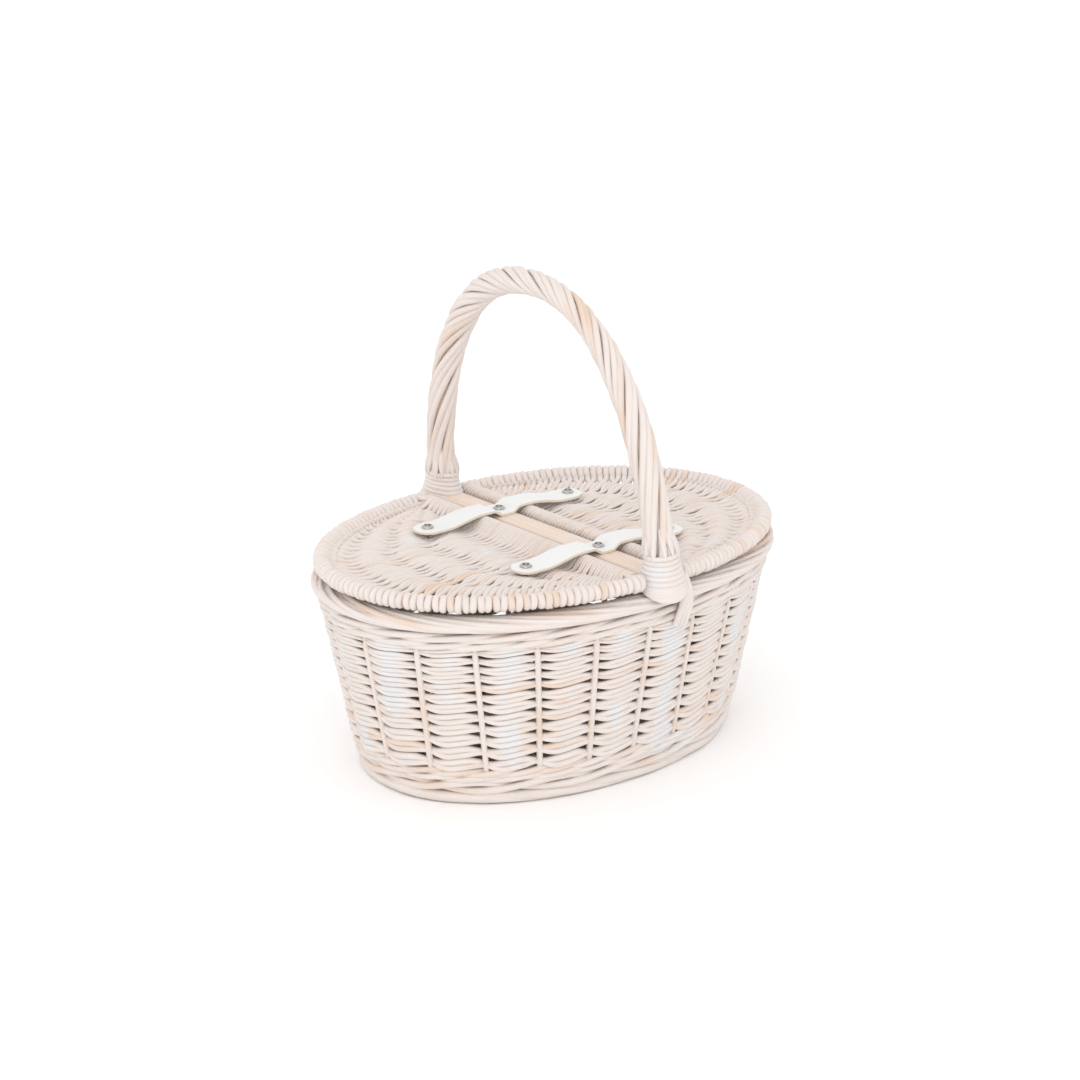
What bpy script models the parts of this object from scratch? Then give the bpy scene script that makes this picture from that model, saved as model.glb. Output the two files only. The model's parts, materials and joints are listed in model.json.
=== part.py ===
"""Oval wicker picnic basket with a roped bow handle and two lids on riveted leather straps.

Standalone Blender 4.5 script, in metres, +Z up. The origin is the centre of the base, at floor level.
X runs along the basket, Y across it, under the handle. Front is -Y, left is -X.
"""

import math

import bmesh
import bpy
from mathutils import Matrix, Vector

# ---------------------------------------------------------------- driving dimensions
RIM_HALF_LENGTH = 0.193          # outer edge of the rim border, along X
RIM_HALF_WIDTH = 0.137           # the same, along Y
FOOT_HALF_LENGTH = 0.1585        # outer edge of the foot, along X
FOOT_HALF_WIDTH = 0.1095         # the same, along Y
OVAL_POWER = 2.1                 # 2 is an ellipse, more is squarer
BASKET_HEIGHT = 0.153            # floor to the top of the rim border
SHOULDER = 0.003                 # how far the rim border stands out past the wall below it
WALL = 0.0138                    # a stake with a weaver in front of it and one behind it
FOOT_BORDER_HEIGHT = 0.012
BOTTOM_WALE_HEIGHT = 0.016
TOP_WALE_HEIGHT = 0.012
RIM_BORDER_HEIGHT = 0.012
RIM_BORDER_WIDTH = 0.022
BASE_THICKNESS = 0.009
BASE_CLEARANCE = 0.005           # floor to the underside of the base

HANDLE_INSET = 0.0085            # rim's outer edge to the handle's centre line
HANDLE_RISE = 0.1995             # rim to the handle's centre line at the top
ARCH_POWER = 2.2                 # 2 is an ellipse, more is squarer
HANDLE_LEAN = 0.020              # the top of the arch leans this far towards the back
LEAN_EASE = 0.3                  # the feet are upright, and the lean is full above this share of the rise
CORE_RADIUS = 0.0058             # least, and thicker where the strands need more room to lie on it
SPIKE_RADIUS = 0.0030            # the core's sharpened ends, inside the wall
SPIKE_DEPTH = 0.060
STRAND_RADIUS = 0.00225
STRAND_COUNT = 10
STRAND_TURNS = 3.5
TWIST_EASE = 0.55                # the twist is this much tighter at the top, and looser at the feet
STRAND_LAY = 0.865               # cosine of the strands' steepest slant along the handle
COLLAR_HEIGHT = 0.020
COLLAR_WALL = 0.0028
COLLAR_CLEARANCE = 0.0008        # the rope leans inward a little inside the collar

LID_INSET = 0.003                # rim's outer edge to the lids' outer edge
LID_EDGE_RADIUS = 0.0065         # bow with the weavers wrapped over it
HINGE_ROD_RADIUS = 0.0065
PANEL_THICKNESS = 0.009
PANEL_DROP = 0.0045              # the panel's top below the top of the hinge rod
LID_SEAT = 0.0035                # shut lid to rim
CENTRE_BAR_HALF_WIDTH = 0.011
CENTRE_BAR_THICKNESS = 0.0125

STRAP_WIDTH = 0.023
STRAP_THICKNESS = 0.0025
STRAP_OFFSET = 0.058             # centre of the basket to a strap's centre line, along Y
STRAP_REACH = 0.069              # middle rivet to a lid's rivet, along X
STRAP_END = 0.0105               # rivet to the strap's tip
STRAP_RAMP = 0.008               # length over which a strap climbs from the bar to a hinge rod
STRAP_FALL = 0.034               # length over which it comes down from the hinge rod to the panel
RIVET_SHANK_RADIUS = 0.0015
RIVET_HEAD_RADIUS = 0.0046
RIVET_HEAD_HEIGHT = 0.0020
RIVET_TAIL_RADIUS = 0.0022
RIVET_TAIL_HEIGHT = 0.0010
WASHER_RADIUS = 0.0050
WASHER_THICKNESS = 0.0008

GAP = 0.0003                     # between pieces that touch
FOLD_GAP = 0.0020                # centre bar to the line that a lid's strap folds on
OVAL_STEPS = 56
ROUND_STEPS = 12
ROPE_STATIONS = 80

# ---------------------------------------------------------------- sizes that follow
CROWDED_RADIUS = (STRAND_RADIUS + GAP / 2) / (STRAND_LAY * math.sin(math.pi / STRAND_COUNT))
ROPE_HELIX_RADIUS = max(CORE_RADIUS + GAP + STRAND_RADIUS, CROWDED_RADIUS)
FULL_CORE_RADIUS = ROPE_HELIX_RADIUS - STRAND_RADIUS - GAP
COLLAR_BORE = ROPE_HELIX_RADIUS + STRAND_RADIUS + COLLAR_CLEARANCE
COLLAR_RADIUS = COLLAR_BORE + COLLAR_WALL
HANDLE_HALF_SPAN = RIM_HALF_WIDTH - HANDLE_INSET

LID_HALF_LENGTH = RIM_HALF_LENGTH - LID_INSET
LID_HALF_WIDTH = RIM_HALF_WIDTH - LID_INSET
LID_EDGE_Z = BASKET_HEIGHT + LID_SEAT + LID_EDGE_RADIUS
HINGE_ROD_X = COLLAR_RADIUS + 2 * GAP + HINGE_ROD_RADIUS
HINGE_ROD_Z = BASKET_HEIGHT + LID_SEAT + HINGE_ROD_RADIUS
LID_TOP = HINGE_ROD_Z + HINGE_ROD_RADIUS
PANEL_TOP = LID_TOP - PANEL_DROP
CENTRE_BAR_TOP = BASKET_HEIGHT + GAP + CENTRE_BAR_THICKNESS
STRAP_CREST = max(LID_TOP, CENTRE_BAR_TOP) + GAP
HINGE_X = CENTRE_BAR_HALF_WIDTH + FOLD_GAP
HINGE_Z = STRAP_CREST + STRAP_THICKNESS

RIM_Z = BASKET_HEIGHT - RIM_BORDER_HEIGHT
TOP_WALE_Z = RIM_Z - TOP_WALE_HEIGHT
SIDING_Z = FOOT_BORDER_HEIGHT + BOTTOM_WALE_HEIGHT

WASHED_WILLOW = (0.86, 0.82, 0.79)
BARE_WILLOW = (0.80, 0.66, 0.55)
WHITE_LEATHER = (0.92, 0.92, 0.90)
NICKEL = (0.72, 0.72, 0.72)


# ---------------------------------------------------------------- materials and objects
def material(name, colour, roughness, metallic=0.0):
    found = bpy.data.materials.get(name)
    if found:
        return found
    made = bpy.data.materials.new(name)
    made.use_nodes = True
    shader = made.node_tree.nodes["Principled BSDF"]
    shader.inputs["Base Color"].default_value = (*colour, 1.0)
    shader.inputs["Roughness"].default_value = roughness
    shader.inputs["Metallic"].default_value = metallic
    return made


def willow():
    return material("washed_willow", WASHED_WILLOW, 0.75)


def bare_willow():
    return material("bare_willow", BARE_WILLOW, 0.7)


def leather():
    return material("white_leather", WHITE_LEATHER, 0.55)


def metal():
    return material("nickel", NICKEL, 0.3, 1.0)


def place(name, data, finish, parent=None, location=(0, 0, 0)):
    """Links an object, on its parent where it has one. Its data is in the parent's own axes."""
    data.materials.append(finish)
    made = bpy.data.objects.new(name, data)
    bpy.context.scene.collection.objects.link(made)
    made.parent = parent
    made.location = location
    return made


def finish_mesh(shape, name, smooth_degrees=40):
    bmesh.ops.recalc_face_normals(shape, faces=shape.faces)
    data = bpy.data.meshes.new(name)
    shape.to_mesh(data)
    shape.free()
    data.shade_smooth()
    data.set_sharp_from_angle(angle=math.radians(smooth_degrees))
    return data


def cut(piece, cutter):
    """Takes a hidden cutter's shape out of a piece."""
    cutter.hide_render = True
    cutter.display_type = "WIRE"
    modifier = piece.modifiers.new("cut_" + cutter.name, "BOOLEAN")
    modifier.operation = "DIFFERENCE"
    modifier.object = cutter


def cylinder_cutter(name, start, end, radius, parent=None):
    """A hidden cylinder from start to end."""
    shape = bmesh.new()
    axis = Vector(end) - Vector(start)
    turn = axis.to_track_quat("Z", "Y").to_matrix().to_4x4()
    middle = Matrix.Translation((Vector(start) + Vector(end)) / 2)
    bmesh.ops.create_cone(shape, cap_ends=True, segments=ROUND_STEPS, radius1=radius,
                          radius2=radius, depth=axis.length, matrix=middle @ turn)
    return place(name, finish_mesh(shape, name), metal(), parent)


# ---------------------------------------------------------------- the oval wall
def wall_half_axes(height):
    """Half length and half width of the wall's outer face at a height: straight, leaning sides."""
    share = height / RIM_Z
    return (FOOT_HALF_LENGTH + (RIM_HALF_LENGTH - SHOULDER - FOOT_HALF_LENGTH) * share,
            FOOT_HALF_WIDTH + (RIM_HALF_WIDTH - SHOULDER - FOOT_HALF_WIDTH) * share)


def oval_point(half_length, half_width, turn, inset=0.0):
    """A point on an oval, or the inset inside it, measured square to its edge."""
    c, s = math.cos(turn), math.sin(turn)
    x = half_length * math.copysign(abs(c) ** (2 / OVAL_POWER), c)
    y = half_width * math.copysign(abs(s) ** (2 / OVAL_POWER), s)
    outward = Vector((
        math.copysign(abs(x / half_length) ** (OVAL_POWER - 1) / half_length, c),
        math.copysign(abs(y / half_width) ** (OVAL_POWER - 1) / half_width, s),
        0,
    )).normalized()
    return Vector((x, y, 0)) - outward * inset


def oval_loop(shape, half_length, half_width, height):
    """A closed loop of corners around an oval."""
    turns = [2 * math.pi * step / OVAL_STEPS for step in range(OVAL_STEPS)]
    raised = Vector((0, 0, height))
    return [shape.verts.new(oval_point(half_length, half_width, turn) + raised) for turn in turns]


def skin(shape, rows):
    """Four-sided faces between each closed row of corners and the next."""
    for low, high in zip(rows, rows[1:]):
        for i in range(len(low)):
            j = (i + 1) % len(low)
            shape.faces.new((low[i], low[j], high[j], high[i]))


def oval_ring(name, section, finish):
    """A ring whose section is a list of (half length, half width, height), in order round the section."""
    shape = bmesh.new()
    rows = [oval_loop(shape, *corner) for corner in section]
    skin(shape, [*rows, rows[0]])
    return place(name, finish_mesh(shape, name), finish)


def wall_section(bottom, top, width=WALL, stand_out=0.0):
    """Four corners of a band of wall between two heights."""
    low_length, low_width = wall_half_axes(bottom)
    high_length, high_width = wall_half_axes(top)
    return [
        (low_length + stand_out, low_width + stand_out, bottom),
        (high_length + stand_out, high_width + stand_out, top),
        (high_length - width, high_width - width, top),
        (low_length - width, low_width - width, bottom),
    ]


def build_wall():
    """The woven body, from the floor up: foot, bottom wale, siding, top wale and rim."""
    oval_ring("foot_border", wall_section(0, FOOT_BORDER_HEIGHT - GAP), willow())
    oval_ring("bottom_wale", wall_section(FOOT_BORDER_HEIGHT, SIDING_Z - GAP), willow())
    siding = oval_ring("side_weave", wall_section(SIDING_Z, TOP_WALE_Z - GAP), willow())
    top_wale = oval_ring("top_wale", wall_section(TOP_WALE_Z, RIM_Z - GAP), willow())
    inner_length = RIM_HALF_LENGTH - RIM_BORDER_WIDTH
    inner_width = RIM_HALF_WIDTH - RIM_BORDER_WIDTH
    rim = oval_ring("rim_border", [
        (RIM_HALF_LENGTH, RIM_HALF_WIDTH, RIM_Z),
        (RIM_HALF_LENGTH, RIM_HALF_WIDTH, BASKET_HEIGHT),
        (inner_length, inner_width, BASKET_HEIGHT),
        (inner_length, inner_width, RIM_Z),
    ], willow())
    for side, sign in (("front", -1), ("back", 1)):
        top, tip = spike_line(sign)
        along = (tip - top).normalized()
        cutter = cylinder_cutter("spike_hole_" + side, top - along * SPIKE_RADIUS * 4, tip + along * GAP * 4,
                                 SPIKE_RADIUS + 2 * GAP)
        for ring in (siding, top_wale, rim):
            cut(ring, cutter)


def build_base():
    """The woven oval floor, held inside the foot and the bottom wale."""
    shape = bmesh.new()
    rows = []
    for height in (BASE_CLEARANCE, BASE_CLEARANCE + BASE_THICKNESS):
        half_length, half_width = wall_half_axes(height)
        rows.append(oval_loop(shape, half_length - WALL - GAP, half_width - WALL - GAP, height))
    skin(shape, rows)
    for row in rows:
        shape.faces.new(row)
    place("base_mat", finish_mesh(shape, "base_mat"), willow())


# ---------------------------------------------------------------- the handle
def spike_line(sign):
    """Top and tip of a sharpened core end, down the middle of the leaning wall."""
    tip_height = BASKET_HEIGHT - SPIKE_DEPTH
    tip = Vector((0, sign * (wall_half_axes(tip_height)[1] - WALL / 2), tip_height))
    return Vector((0, sign * HANDLE_HALF_SPAN, BASKET_HEIGHT)), tip


def arch_points(count, steps=720):
    """Evenly spaced points over the handle's centre line, from the front foot to the back foot."""
    fine = []
    for step in range(steps + 1):
        turn = math.pi * step / steps
        across = -math.copysign(abs(math.cos(turn)) ** (2 / ARCH_POWER), math.cos(turn))
        up = math.sin(turn) ** (2 / ARCH_POWER) if 0 < step < steps else 0.0
        lean = HANDLE_LEAN * up * smooth_step(up / LEAN_EASE)
        fine.append(Vector((0, HANDLE_HALF_SPAN * across + lean, BASKET_HEIGHT + HANDLE_RISE * up)))
    run = [0.0]
    for a, b in zip(fine, fine[1:]):
        run.append(run[-1] + (b - a).length)
    points, i = [], 0
    for k in range(count):
        goal = run[-1] * k / (count - 1)
        while i < len(run) - 2 and run[i + 1] < goal:
            i += 1
        share = (goal - run[i]) / (run[i + 1] - run[i])
        points.append(fine[i].lerp(fine[i + 1], share))
    return points


def tube(name, points, radii, finish, sides, parent=None):
    """A curve along points, with a radius at each and closed ends. Sides is 6, 8, 10 or 12."""
    data = bpy.data.curves.new(name, "CURVE")
    data.dimensions = "3D"
    data.bevel_depth = 1.0
    data.bevel_resolution = (sides - 4) // 2
    data.use_fill_caps = True
    data.twist_mode = "MINIMUM"
    line = data.splines.new("POLY")
    line.points.add(len(points) - 1)
    for knot, point, radius in zip(line.points, points, radii):
        knot.co = (*point, 1.0)
        knot.radius = radius
    return place(name, data, finish, parent)


def build_handle_core():
    """One stout rod over the basket. Its ends are sharpened and pushed down into the wall."""
    front_top, front_tip = spike_line(-1)
    back_top, back_tip = spike_line(1)
    arch = arch_points(ROPE_STATIONS)
    points = [front_tip, front_top, *arch[1:-1], back_top, back_tip]
    radii = [SPIKE_RADIUS * 0.5, SPIKE_RADIUS, *[FULL_CORE_RADIUS] * (len(points) - 4), SPIKE_RADIUS,
             SPIKE_RADIUS * 0.5]
    tube("handle_core", points, radii, bare_willow(), 8)


def twist_turns(share):
    """Turns of the twist from the front foot to a share of the way along the handle."""
    return STRAND_TURNS * (share - TWIST_EASE * math.sin(2 * math.pi * share) / (2 * math.pi))


def build_rope():
    """The rods laid round the core in a long right-hand twist."""
    arch = arch_points(ROPE_STATIONS)
    lift = Vector((0, 0, STRAND_RADIUS * 0.4))    # keeps the slanting ends off the rim
    for strand in range(STRAND_COUNT):
        points = []
        for k, point in enumerate(arch):
            before = arch[max(k - 1, 0)]
            after = arch[min(k + 1, len(arch) - 1)]
            along = (after - before).normalized()
            sideways = Vector((1, 0, 0))
            outward = along.cross(sideways)
            turn = 2 * math.pi * (strand / STRAND_COUNT + twist_turns(k / (len(arch) - 1)))
            offset = outward * math.cos(turn) - sideways * math.sin(turn)
            points.append(point + offset * ROPE_HELIX_RADIUS)
        points[0] += lift
        points[-1] += lift
        tube(f"handle_strand_{strand + 1}", points, [STRAND_RADIUS] * len(points), willow(), 6)


def build_collars():
    """The binding wound round each foot of the handle, on top of the rim."""
    for side, sign in (("front", -1), ("back", 1)):
        shape = bmesh.new()
        rows = []
        for radius, height in ((COLLAR_RADIUS, 0), (COLLAR_RADIUS, COLLAR_HEIGHT),
                               (COLLAR_BORE, COLLAR_HEIGHT), (COLLAR_BORE, 0)):
            ring = bmesh.ops.create_circle(shape, segments=2 * ROUND_STEPS, radius=radius,
                                           matrix=Matrix.Translation((0, 0, height)))
            rows.append(ring["verts"])
        skin(shape, [*rows, rows[0]])
        name = "handle_collar_" + side
        place(name, finish_mesh(shape, name), willow(),
              location=(0, sign * HANDLE_HALF_SPAN, BASKET_HEIGHT + GAP))


def build_centre_bar():
    """The flat slat between the lids. Each end is hollowed to seat on a collar."""
    half_length = HANDLE_HALF_SPAN - COLLAR_RADIUS / 2
    shape = bmesh.new()
    scale = Matrix.Diagonal((2 * CENTRE_BAR_HALF_WIDTH, 2 * half_length, CENTRE_BAR_THICKNESS, 1))
    bmesh.ops.create_cube(shape, size=1, matrix=scale)
    long_edges = [e for e in shape.edges if abs(e.verts[0].co.y - e.verts[1].co.y) > half_length]
    bmesh.ops.bevel(shape, geom=long_edges, offset=CENTRE_BAR_THICKNESS * 0.2, segments=2, profile=0.5,
                    affect="EDGES", material=-1)
    middle = CENTRE_BAR_TOP - CENTRE_BAR_THICKNESS / 2
    bar = place("centre_bar", finish_mesh(shape, "centre_bar"), bare_willow(), location=(0, 0, middle))
    for side, sign in (("front", -1), ("back", 1)):
        foot = Vector((0, sign * HANDLE_HALF_SPAN, BASKET_HEIGHT))
        cut(bar, cylinder_cutter("bar_seat_" + side, foot, foot + Vector((0, 0, 2 * COLLAR_HEIGHT)),
                                 COLLAR_RADIUS + 2 * GAP))
        cut(bar, rivet_hole("bar_hole_" + side, Vector((0, sign * STRAP_OFFSET, CENTRE_BAR_TOP))))


# ---------------------------------------------------------------- straps and rivets
def smooth_step(value):
    value = min(max(value, 0.0), 1.0)
    return value * value * (3 - 2 * value)


def strap_underside(distance):
    """Height of a strap's underside: on the bar, up over the hinge rod, down onto the panel."""
    on_bar = CENTRE_BAR_TOP + GAP
    on_panel = PANEL_TOP + GAP
    rise = smooth_step((distance - HINGE_X + STRAP_RAMP) / STRAP_RAMP)
    fall_from = HINGE_ROD_X + HINGE_ROD_RADIUS / 2
    fall = smooth_step((distance - fall_from) / STRAP_FALL)
    return on_bar + (STRAP_CREST - on_bar) * rise - (STRAP_CREST - on_panel) * fall


def strap_half_width(distance):
    """Half width of a strap, rounded at its tip."""
    tip = STRAP_REACH + STRAP_END
    half = STRAP_WIDTH / 2
    past = max(distance - (tip - half), 0.0)
    return math.sqrt(max(half * half - past * past, (half * 0.25) ** 2))


def strap_strip(name, start, end, stations, parent, origin, side_y):
    """A length of strap between two distances from the middle of the basket, in its parent's axes."""
    shape = bmesh.new()
    rows = []
    for k in range(stations + 1):
        at = start + (end - start) * k / stations
        half = strap_half_width(abs(at))
        low = strap_underside(abs(at))
        rows.append([shape.verts.new(Vector((at, side_y + y, z)) - origin)
                     for y, z in ((-half, low), (half, low), (half, low + STRAP_THICKNESS),
                                  (-half, low + STRAP_THICKNESS))])
    for a, b in zip(rows, rows[1:]):
        for i in range(4):
            shape.faces.new((a[i], a[(i + 1) % 4], b[(i + 1) % 4], b[i]))
    shape.faces.new(rows[0])
    shape.faces.new(rows[-1])
    return place(name, finish_mesh(shape, name), leather(), parent)


def rivet_hole(name, seat, parent=None):
    """A hidden drill, long enough for a strap and whatever it is riveted to."""
    deep = PANEL_THICKNESS + 4 * STRAP_THICKNESS
    return cylinder_cutter(name, seat - Vector((0, 0, deep)), seat + Vector((0, 0, deep)),
                           RIVET_SHANK_RADIUS + GAP, parent)


def turned(name, profile, finish, parent, location):
    """A solid turned about Z from (radius, height) corners, from axis to axis or round a section."""
    shape = bmesh.new()
    corners = [shape.verts.new((radius, 0, height)) for radius, height in profile]
    edges = [shape.edges.new(pair) for pair in zip(corners, corners[1:])]
    if profile[0][0] > 0:
        edges.append(shape.edges.new((corners[-1], corners[0])))
    bmesh.ops.spin(shape, geom=corners + edges, axis=(0, 0, 1), cent=(0, 0, 0), angle=2 * math.pi,
                   steps=ROUND_STEPS, use_merge=True)
    bmesh.ops.remove_doubles(shape, verts=shape.verts, dist=1e-6)
    return place(name, finish_mesh(shape, name), finish, parent, location)


def build_rivet(name, top, grip, parent=None):
    """A domed rivet from a strap's top face through everything under it, and the washer on its tail."""
    head = [(RIVET_HEAD_RADIUS * math.sin(a), RIVET_HEAD_HEIGHT * math.cos(a))
            for a in (math.radians(d) for d in (0, 25, 50, 72, 90))]
    head = [(radius, height + GAP) for radius, height in head]
    tail_top = -grip - WASHER_THICKNESS - 3 * GAP
    profile = [
        *head,
        (RIVET_SHANK_RADIUS, GAP),
        (RIVET_SHANK_RADIUS, tail_top),
        (RIVET_TAIL_RADIUS, tail_top),
        (RIVET_TAIL_RADIUS * 0.7, tail_top - RIVET_TAIL_HEIGHT),
        (0, tail_top - RIVET_TAIL_HEIGHT),
    ]
    turned("rivet_" + name, profile, metal(), parent, top)
    bore = RIVET_SHANK_RADIUS + GAP
    ring = [(bore, 0), (WASHER_RADIUS, 0), (WASHER_RADIUS, -WASHER_THICKNESS), (bore, -WASHER_THICKNESS)]
    turned("washer_" + name, ring, metal(), parent, top - Vector((0, 0, grip + GAP)))


def build_strap_middles():
    """The middle of each strap, riveted to the centre bar between its two folds."""
    for side, sign in (("front", -1), ("back", 1)):
        y = sign * STRAP_OFFSET
        reach = HINGE_X - GAP
        middle = strap_strip("strap_middle_" + side, -reach, reach, 12, None, Vector((0, 0, 0)), y)
        seat = Vector((0, y, CENTRE_BAR_TOP))
        cut(middle, rivet_hole("middle_hole_" + side, seat))
        top = Vector((0, y, strap_underside(0) + STRAP_THICKNESS))
        build_rivet("middle_" + side, top, top.z - CENTRE_BAR_TOP + CENTRE_BAR_THICKNESS)


# ---------------------------------------------------------------- the lids
def lid_outline(inset, start_x, count):
    """Points round a lid's curved edge, the inset inside it, from its front corner to its back corner."""
    low, high = 0.0, math.pi / 2
    for _ in range(40):
        middle = (low + high) / 2
        if oval_point(LID_HALF_LENGTH, LID_HALF_WIDTH, middle, inset).x > start_x:
            low = middle
        else:
            high = middle
    return [oval_point(LID_HALF_LENGTH, LID_HALF_WIDTH, low * (2 * k / (count - 1) - 1), inset)
            for k in range(count)]


def build_lid(side, turn):
    """One D-shaped lid on its hinge line. The left lid is the right one, turned half a turn about Z."""
    hinge = bpy.data.objects.new(f"lid_{side}_hinge", None)
    bpy.context.scene.collection.objects.link(hinge)
    hinge.location = (HINGE_X * math.cos(turn), 0, HINGE_Z)
    hinge.rotation_euler = (0, 0, turn)
    origin = Vector((HINGE_X, 0, HINGE_Z))

    rod_half_length = lid_outline(0, HINGE_ROD_X, 2)[1].y
    shape = bmesh.new()
    bmesh.ops.create_cone(shape, cap_ends=True, segments=2 * ROUND_STEPS, radius1=HINGE_ROD_RADIUS,
                          radius2=HINGE_ROD_RADIUS, depth=2 * rod_half_length,
                          matrix=Matrix.Rotation(math.pi / 2, 4, "X"))
    place(f"lid_{side}_hinge_rod", finish_mesh(shape, "hinge_rod"), willow(), hinge,
          Vector((HINGE_ROD_X, 0, HINGE_ROD_Z)) - origin)

    bow_start = HINGE_ROD_X + HINGE_ROD_RADIUS + 5 * GAP
    edge_height = Vector((0, 0, LID_EDGE_Z))
    bow = [point + edge_height - origin for point in lid_outline(LID_EDGE_RADIUS, bow_start, 36)]
    tube(f"lid_{side}_bow", bow, [LID_EDGE_RADIUS] * len(bow), willow(), 10, hinge)

    panel_start = HINGE_ROD_X + HINGE_ROD_RADIUS + GAP
    outline = lid_outline(2 * LID_EDGE_RADIUS + GAP, panel_start, 40)
    shape = bmesh.new()
    low = Vector((0, 0, PANEL_TOP - PANEL_THICKNESS))
    floor = shape.faces.new([shape.verts.new(point + low - origin) for point in outline])
    raised = bmesh.ops.extrude_face_region(shape, geom=[floor])
    corners = [part for part in raised["geom"] if isinstance(part, bmesh.types.BMVert)]
    bmesh.ops.translate(shape, verts=corners, vec=(0, 0, PANEL_THICKNESS))
    panel = place(f"lid_{side}_panel", finish_mesh(shape, "panel"), willow(), hinge)

    for local_sign in (-1, 1):
        across = "back" if (local_sign > 0) == (turn == 0) else "front"
        y = local_sign * STRAP_OFFSET
        end = STRAP_REACH + STRAP_END
        strap = strap_strip(f"strap_{side}_{across}", HINGE_X + GAP, end, 20, hinge, origin, y)
        seat = Vector((STRAP_REACH, y, PANEL_TOP)) - origin
        drill = rivet_hole(f"{side}_hole_{across}", seat, hinge)
        cut(strap, drill)
        cut(panel, drill)
        top = Vector((STRAP_REACH, y, strap_underside(STRAP_REACH) + STRAP_THICKNESS))
        build_rivet(f"{side}_{across}", top - origin, top.z - PANEL_TOP + PANEL_THICKNESS, hinge)


def main():
    for thing in list(bpy.data.objects):
        bpy.data.objects.remove(thing)
    build_wall()
    build_base()
    build_handle_core()
    build_rope()
    build_collars()
    build_centre_bar()
    build_strap_middles()
    build_lid("right", 0.0)
    build_lid("left", math.pi)


main()
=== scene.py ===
"""The look of an oval wicker picnic basket: every rod of its weaving, its leather straps and its rivets."""

import json
import math
import random

import bmesh
import bpy
import numpy as np
from bpy.props import FloatProperty, FloatVectorProperty, IntProperty, PointerProperty, StringProperty
from mathutils import Matrix, Vector


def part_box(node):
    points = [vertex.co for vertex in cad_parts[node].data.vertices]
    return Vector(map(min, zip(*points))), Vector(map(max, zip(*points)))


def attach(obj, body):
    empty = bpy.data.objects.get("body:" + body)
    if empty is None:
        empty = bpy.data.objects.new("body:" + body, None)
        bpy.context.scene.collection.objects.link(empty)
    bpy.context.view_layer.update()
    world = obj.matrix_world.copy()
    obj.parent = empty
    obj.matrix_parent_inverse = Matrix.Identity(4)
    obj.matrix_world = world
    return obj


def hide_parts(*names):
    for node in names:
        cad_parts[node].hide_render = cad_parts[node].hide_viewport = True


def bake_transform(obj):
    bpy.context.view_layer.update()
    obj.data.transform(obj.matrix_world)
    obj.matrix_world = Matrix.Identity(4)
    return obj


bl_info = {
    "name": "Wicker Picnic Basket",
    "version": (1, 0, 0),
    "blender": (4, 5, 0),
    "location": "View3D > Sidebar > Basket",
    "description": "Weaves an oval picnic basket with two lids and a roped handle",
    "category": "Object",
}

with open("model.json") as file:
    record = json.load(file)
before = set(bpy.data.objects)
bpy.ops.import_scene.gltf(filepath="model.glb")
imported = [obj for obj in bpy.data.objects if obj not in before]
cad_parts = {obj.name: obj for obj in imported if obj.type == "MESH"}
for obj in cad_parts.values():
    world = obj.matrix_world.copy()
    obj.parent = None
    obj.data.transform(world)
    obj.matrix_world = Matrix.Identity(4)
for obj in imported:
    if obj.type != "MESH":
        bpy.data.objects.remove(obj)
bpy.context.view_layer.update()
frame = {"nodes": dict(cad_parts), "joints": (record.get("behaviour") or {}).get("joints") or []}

MM = 0.001
BODY = "basket"
TAU = 2 * math.pi

# ---------------------------------------------------------------- places read from the frame
RIM_LOW, RIM_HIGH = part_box("rim_border")
WALE_LOW, WALE_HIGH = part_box("top_wale")
SIDING_LOW, SIDING_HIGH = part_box("side_weave")
BOTTOM_LOW, BOTTOM_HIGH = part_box("bottom_wale")
BASE_LOW, BASE_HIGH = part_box("base_mat")
LID_LOW, LID_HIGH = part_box("lid_right_bow")
PANEL_LOW, PANEL_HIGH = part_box("lid_right_panel")
HINGE_ROD_LOW, HINGE_ROD_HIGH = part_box("lid_right_hinge_rod")
COLLAR_LOW, COLLAR_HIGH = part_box("handle_collar_front")
STRAP_LOW, STRAP_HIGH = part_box("strap_right_back")
CORE_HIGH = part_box("handle_core")[1]
BAR_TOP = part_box("centre_bar")[1].z
ROPE_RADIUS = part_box("handle_strand_1")[1].x
HINGE = next(Vector(j["pos_m"]) for j in frame["joints"] if j["name"] == "lid_right_hinge")

# ---------------------------------------------------------------- the basket's shape
OVAL_POWER = 2.1  # of the ovals seen from above, where 2 is an ellipse
ARCH_POWER = 2.2  # of the handle's arch
HANDLE_LEAN = 20 * MM  # how far the arch leans to the back at its top
LEAN_EASE = 0.3  # share of the handle's rise over which the lean sets in
FOOT_HALF = (158.5 * MM, 109.5 * MM)  # half axes of the wall's outer face at floor level
SHOULDER_HALF = (WALE_HIGH.x, WALE_HIGH.y)  # and under the rim
SHOULDER_Z = RIM_LOW.z
SIDING_DEPTH = 4.9 * MM  # of the siding's middle, in from the wall's outer face
STAKE_SHIFT = -0.010  # share of the way round by which the stakes are turned
RIM_HALF = (RIM_HIGH.x, RIM_HIGH.y)
RIM_WIDTH = 22 * MM
HANDLE_FOOT = Vector((0, (COLLAR_LOW.y + COLLAR_HIGH.y) / 2, RIM_HIGH.z))
CORE_RADIUS = CORE_HIGH.x
HANDLE_RISE = CORE_HIGH.z - CORE_RADIUS - RIM_HIGH.z
HINGE_ROD = (HINGE_ROD_LOW + HINGE_ROD_HIGH) / 2
HINGE_ROD_RADIUS = (HINGE_ROD_HIGH.z - HINGE_ROD_LOW.z) / 2
WINDING_LENGTH = HINGE_ROD_HIGH.y - HINGE_ROD_LOW.y - 16 * MM  # it stops short of the bow at each end
LID_HALF = (LID_HIGH.x + 0.2 * MM, LID_HIGH.x + 0.2 * MM - (RIM_HIGH.x - RIM_HIGH.y))
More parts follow.
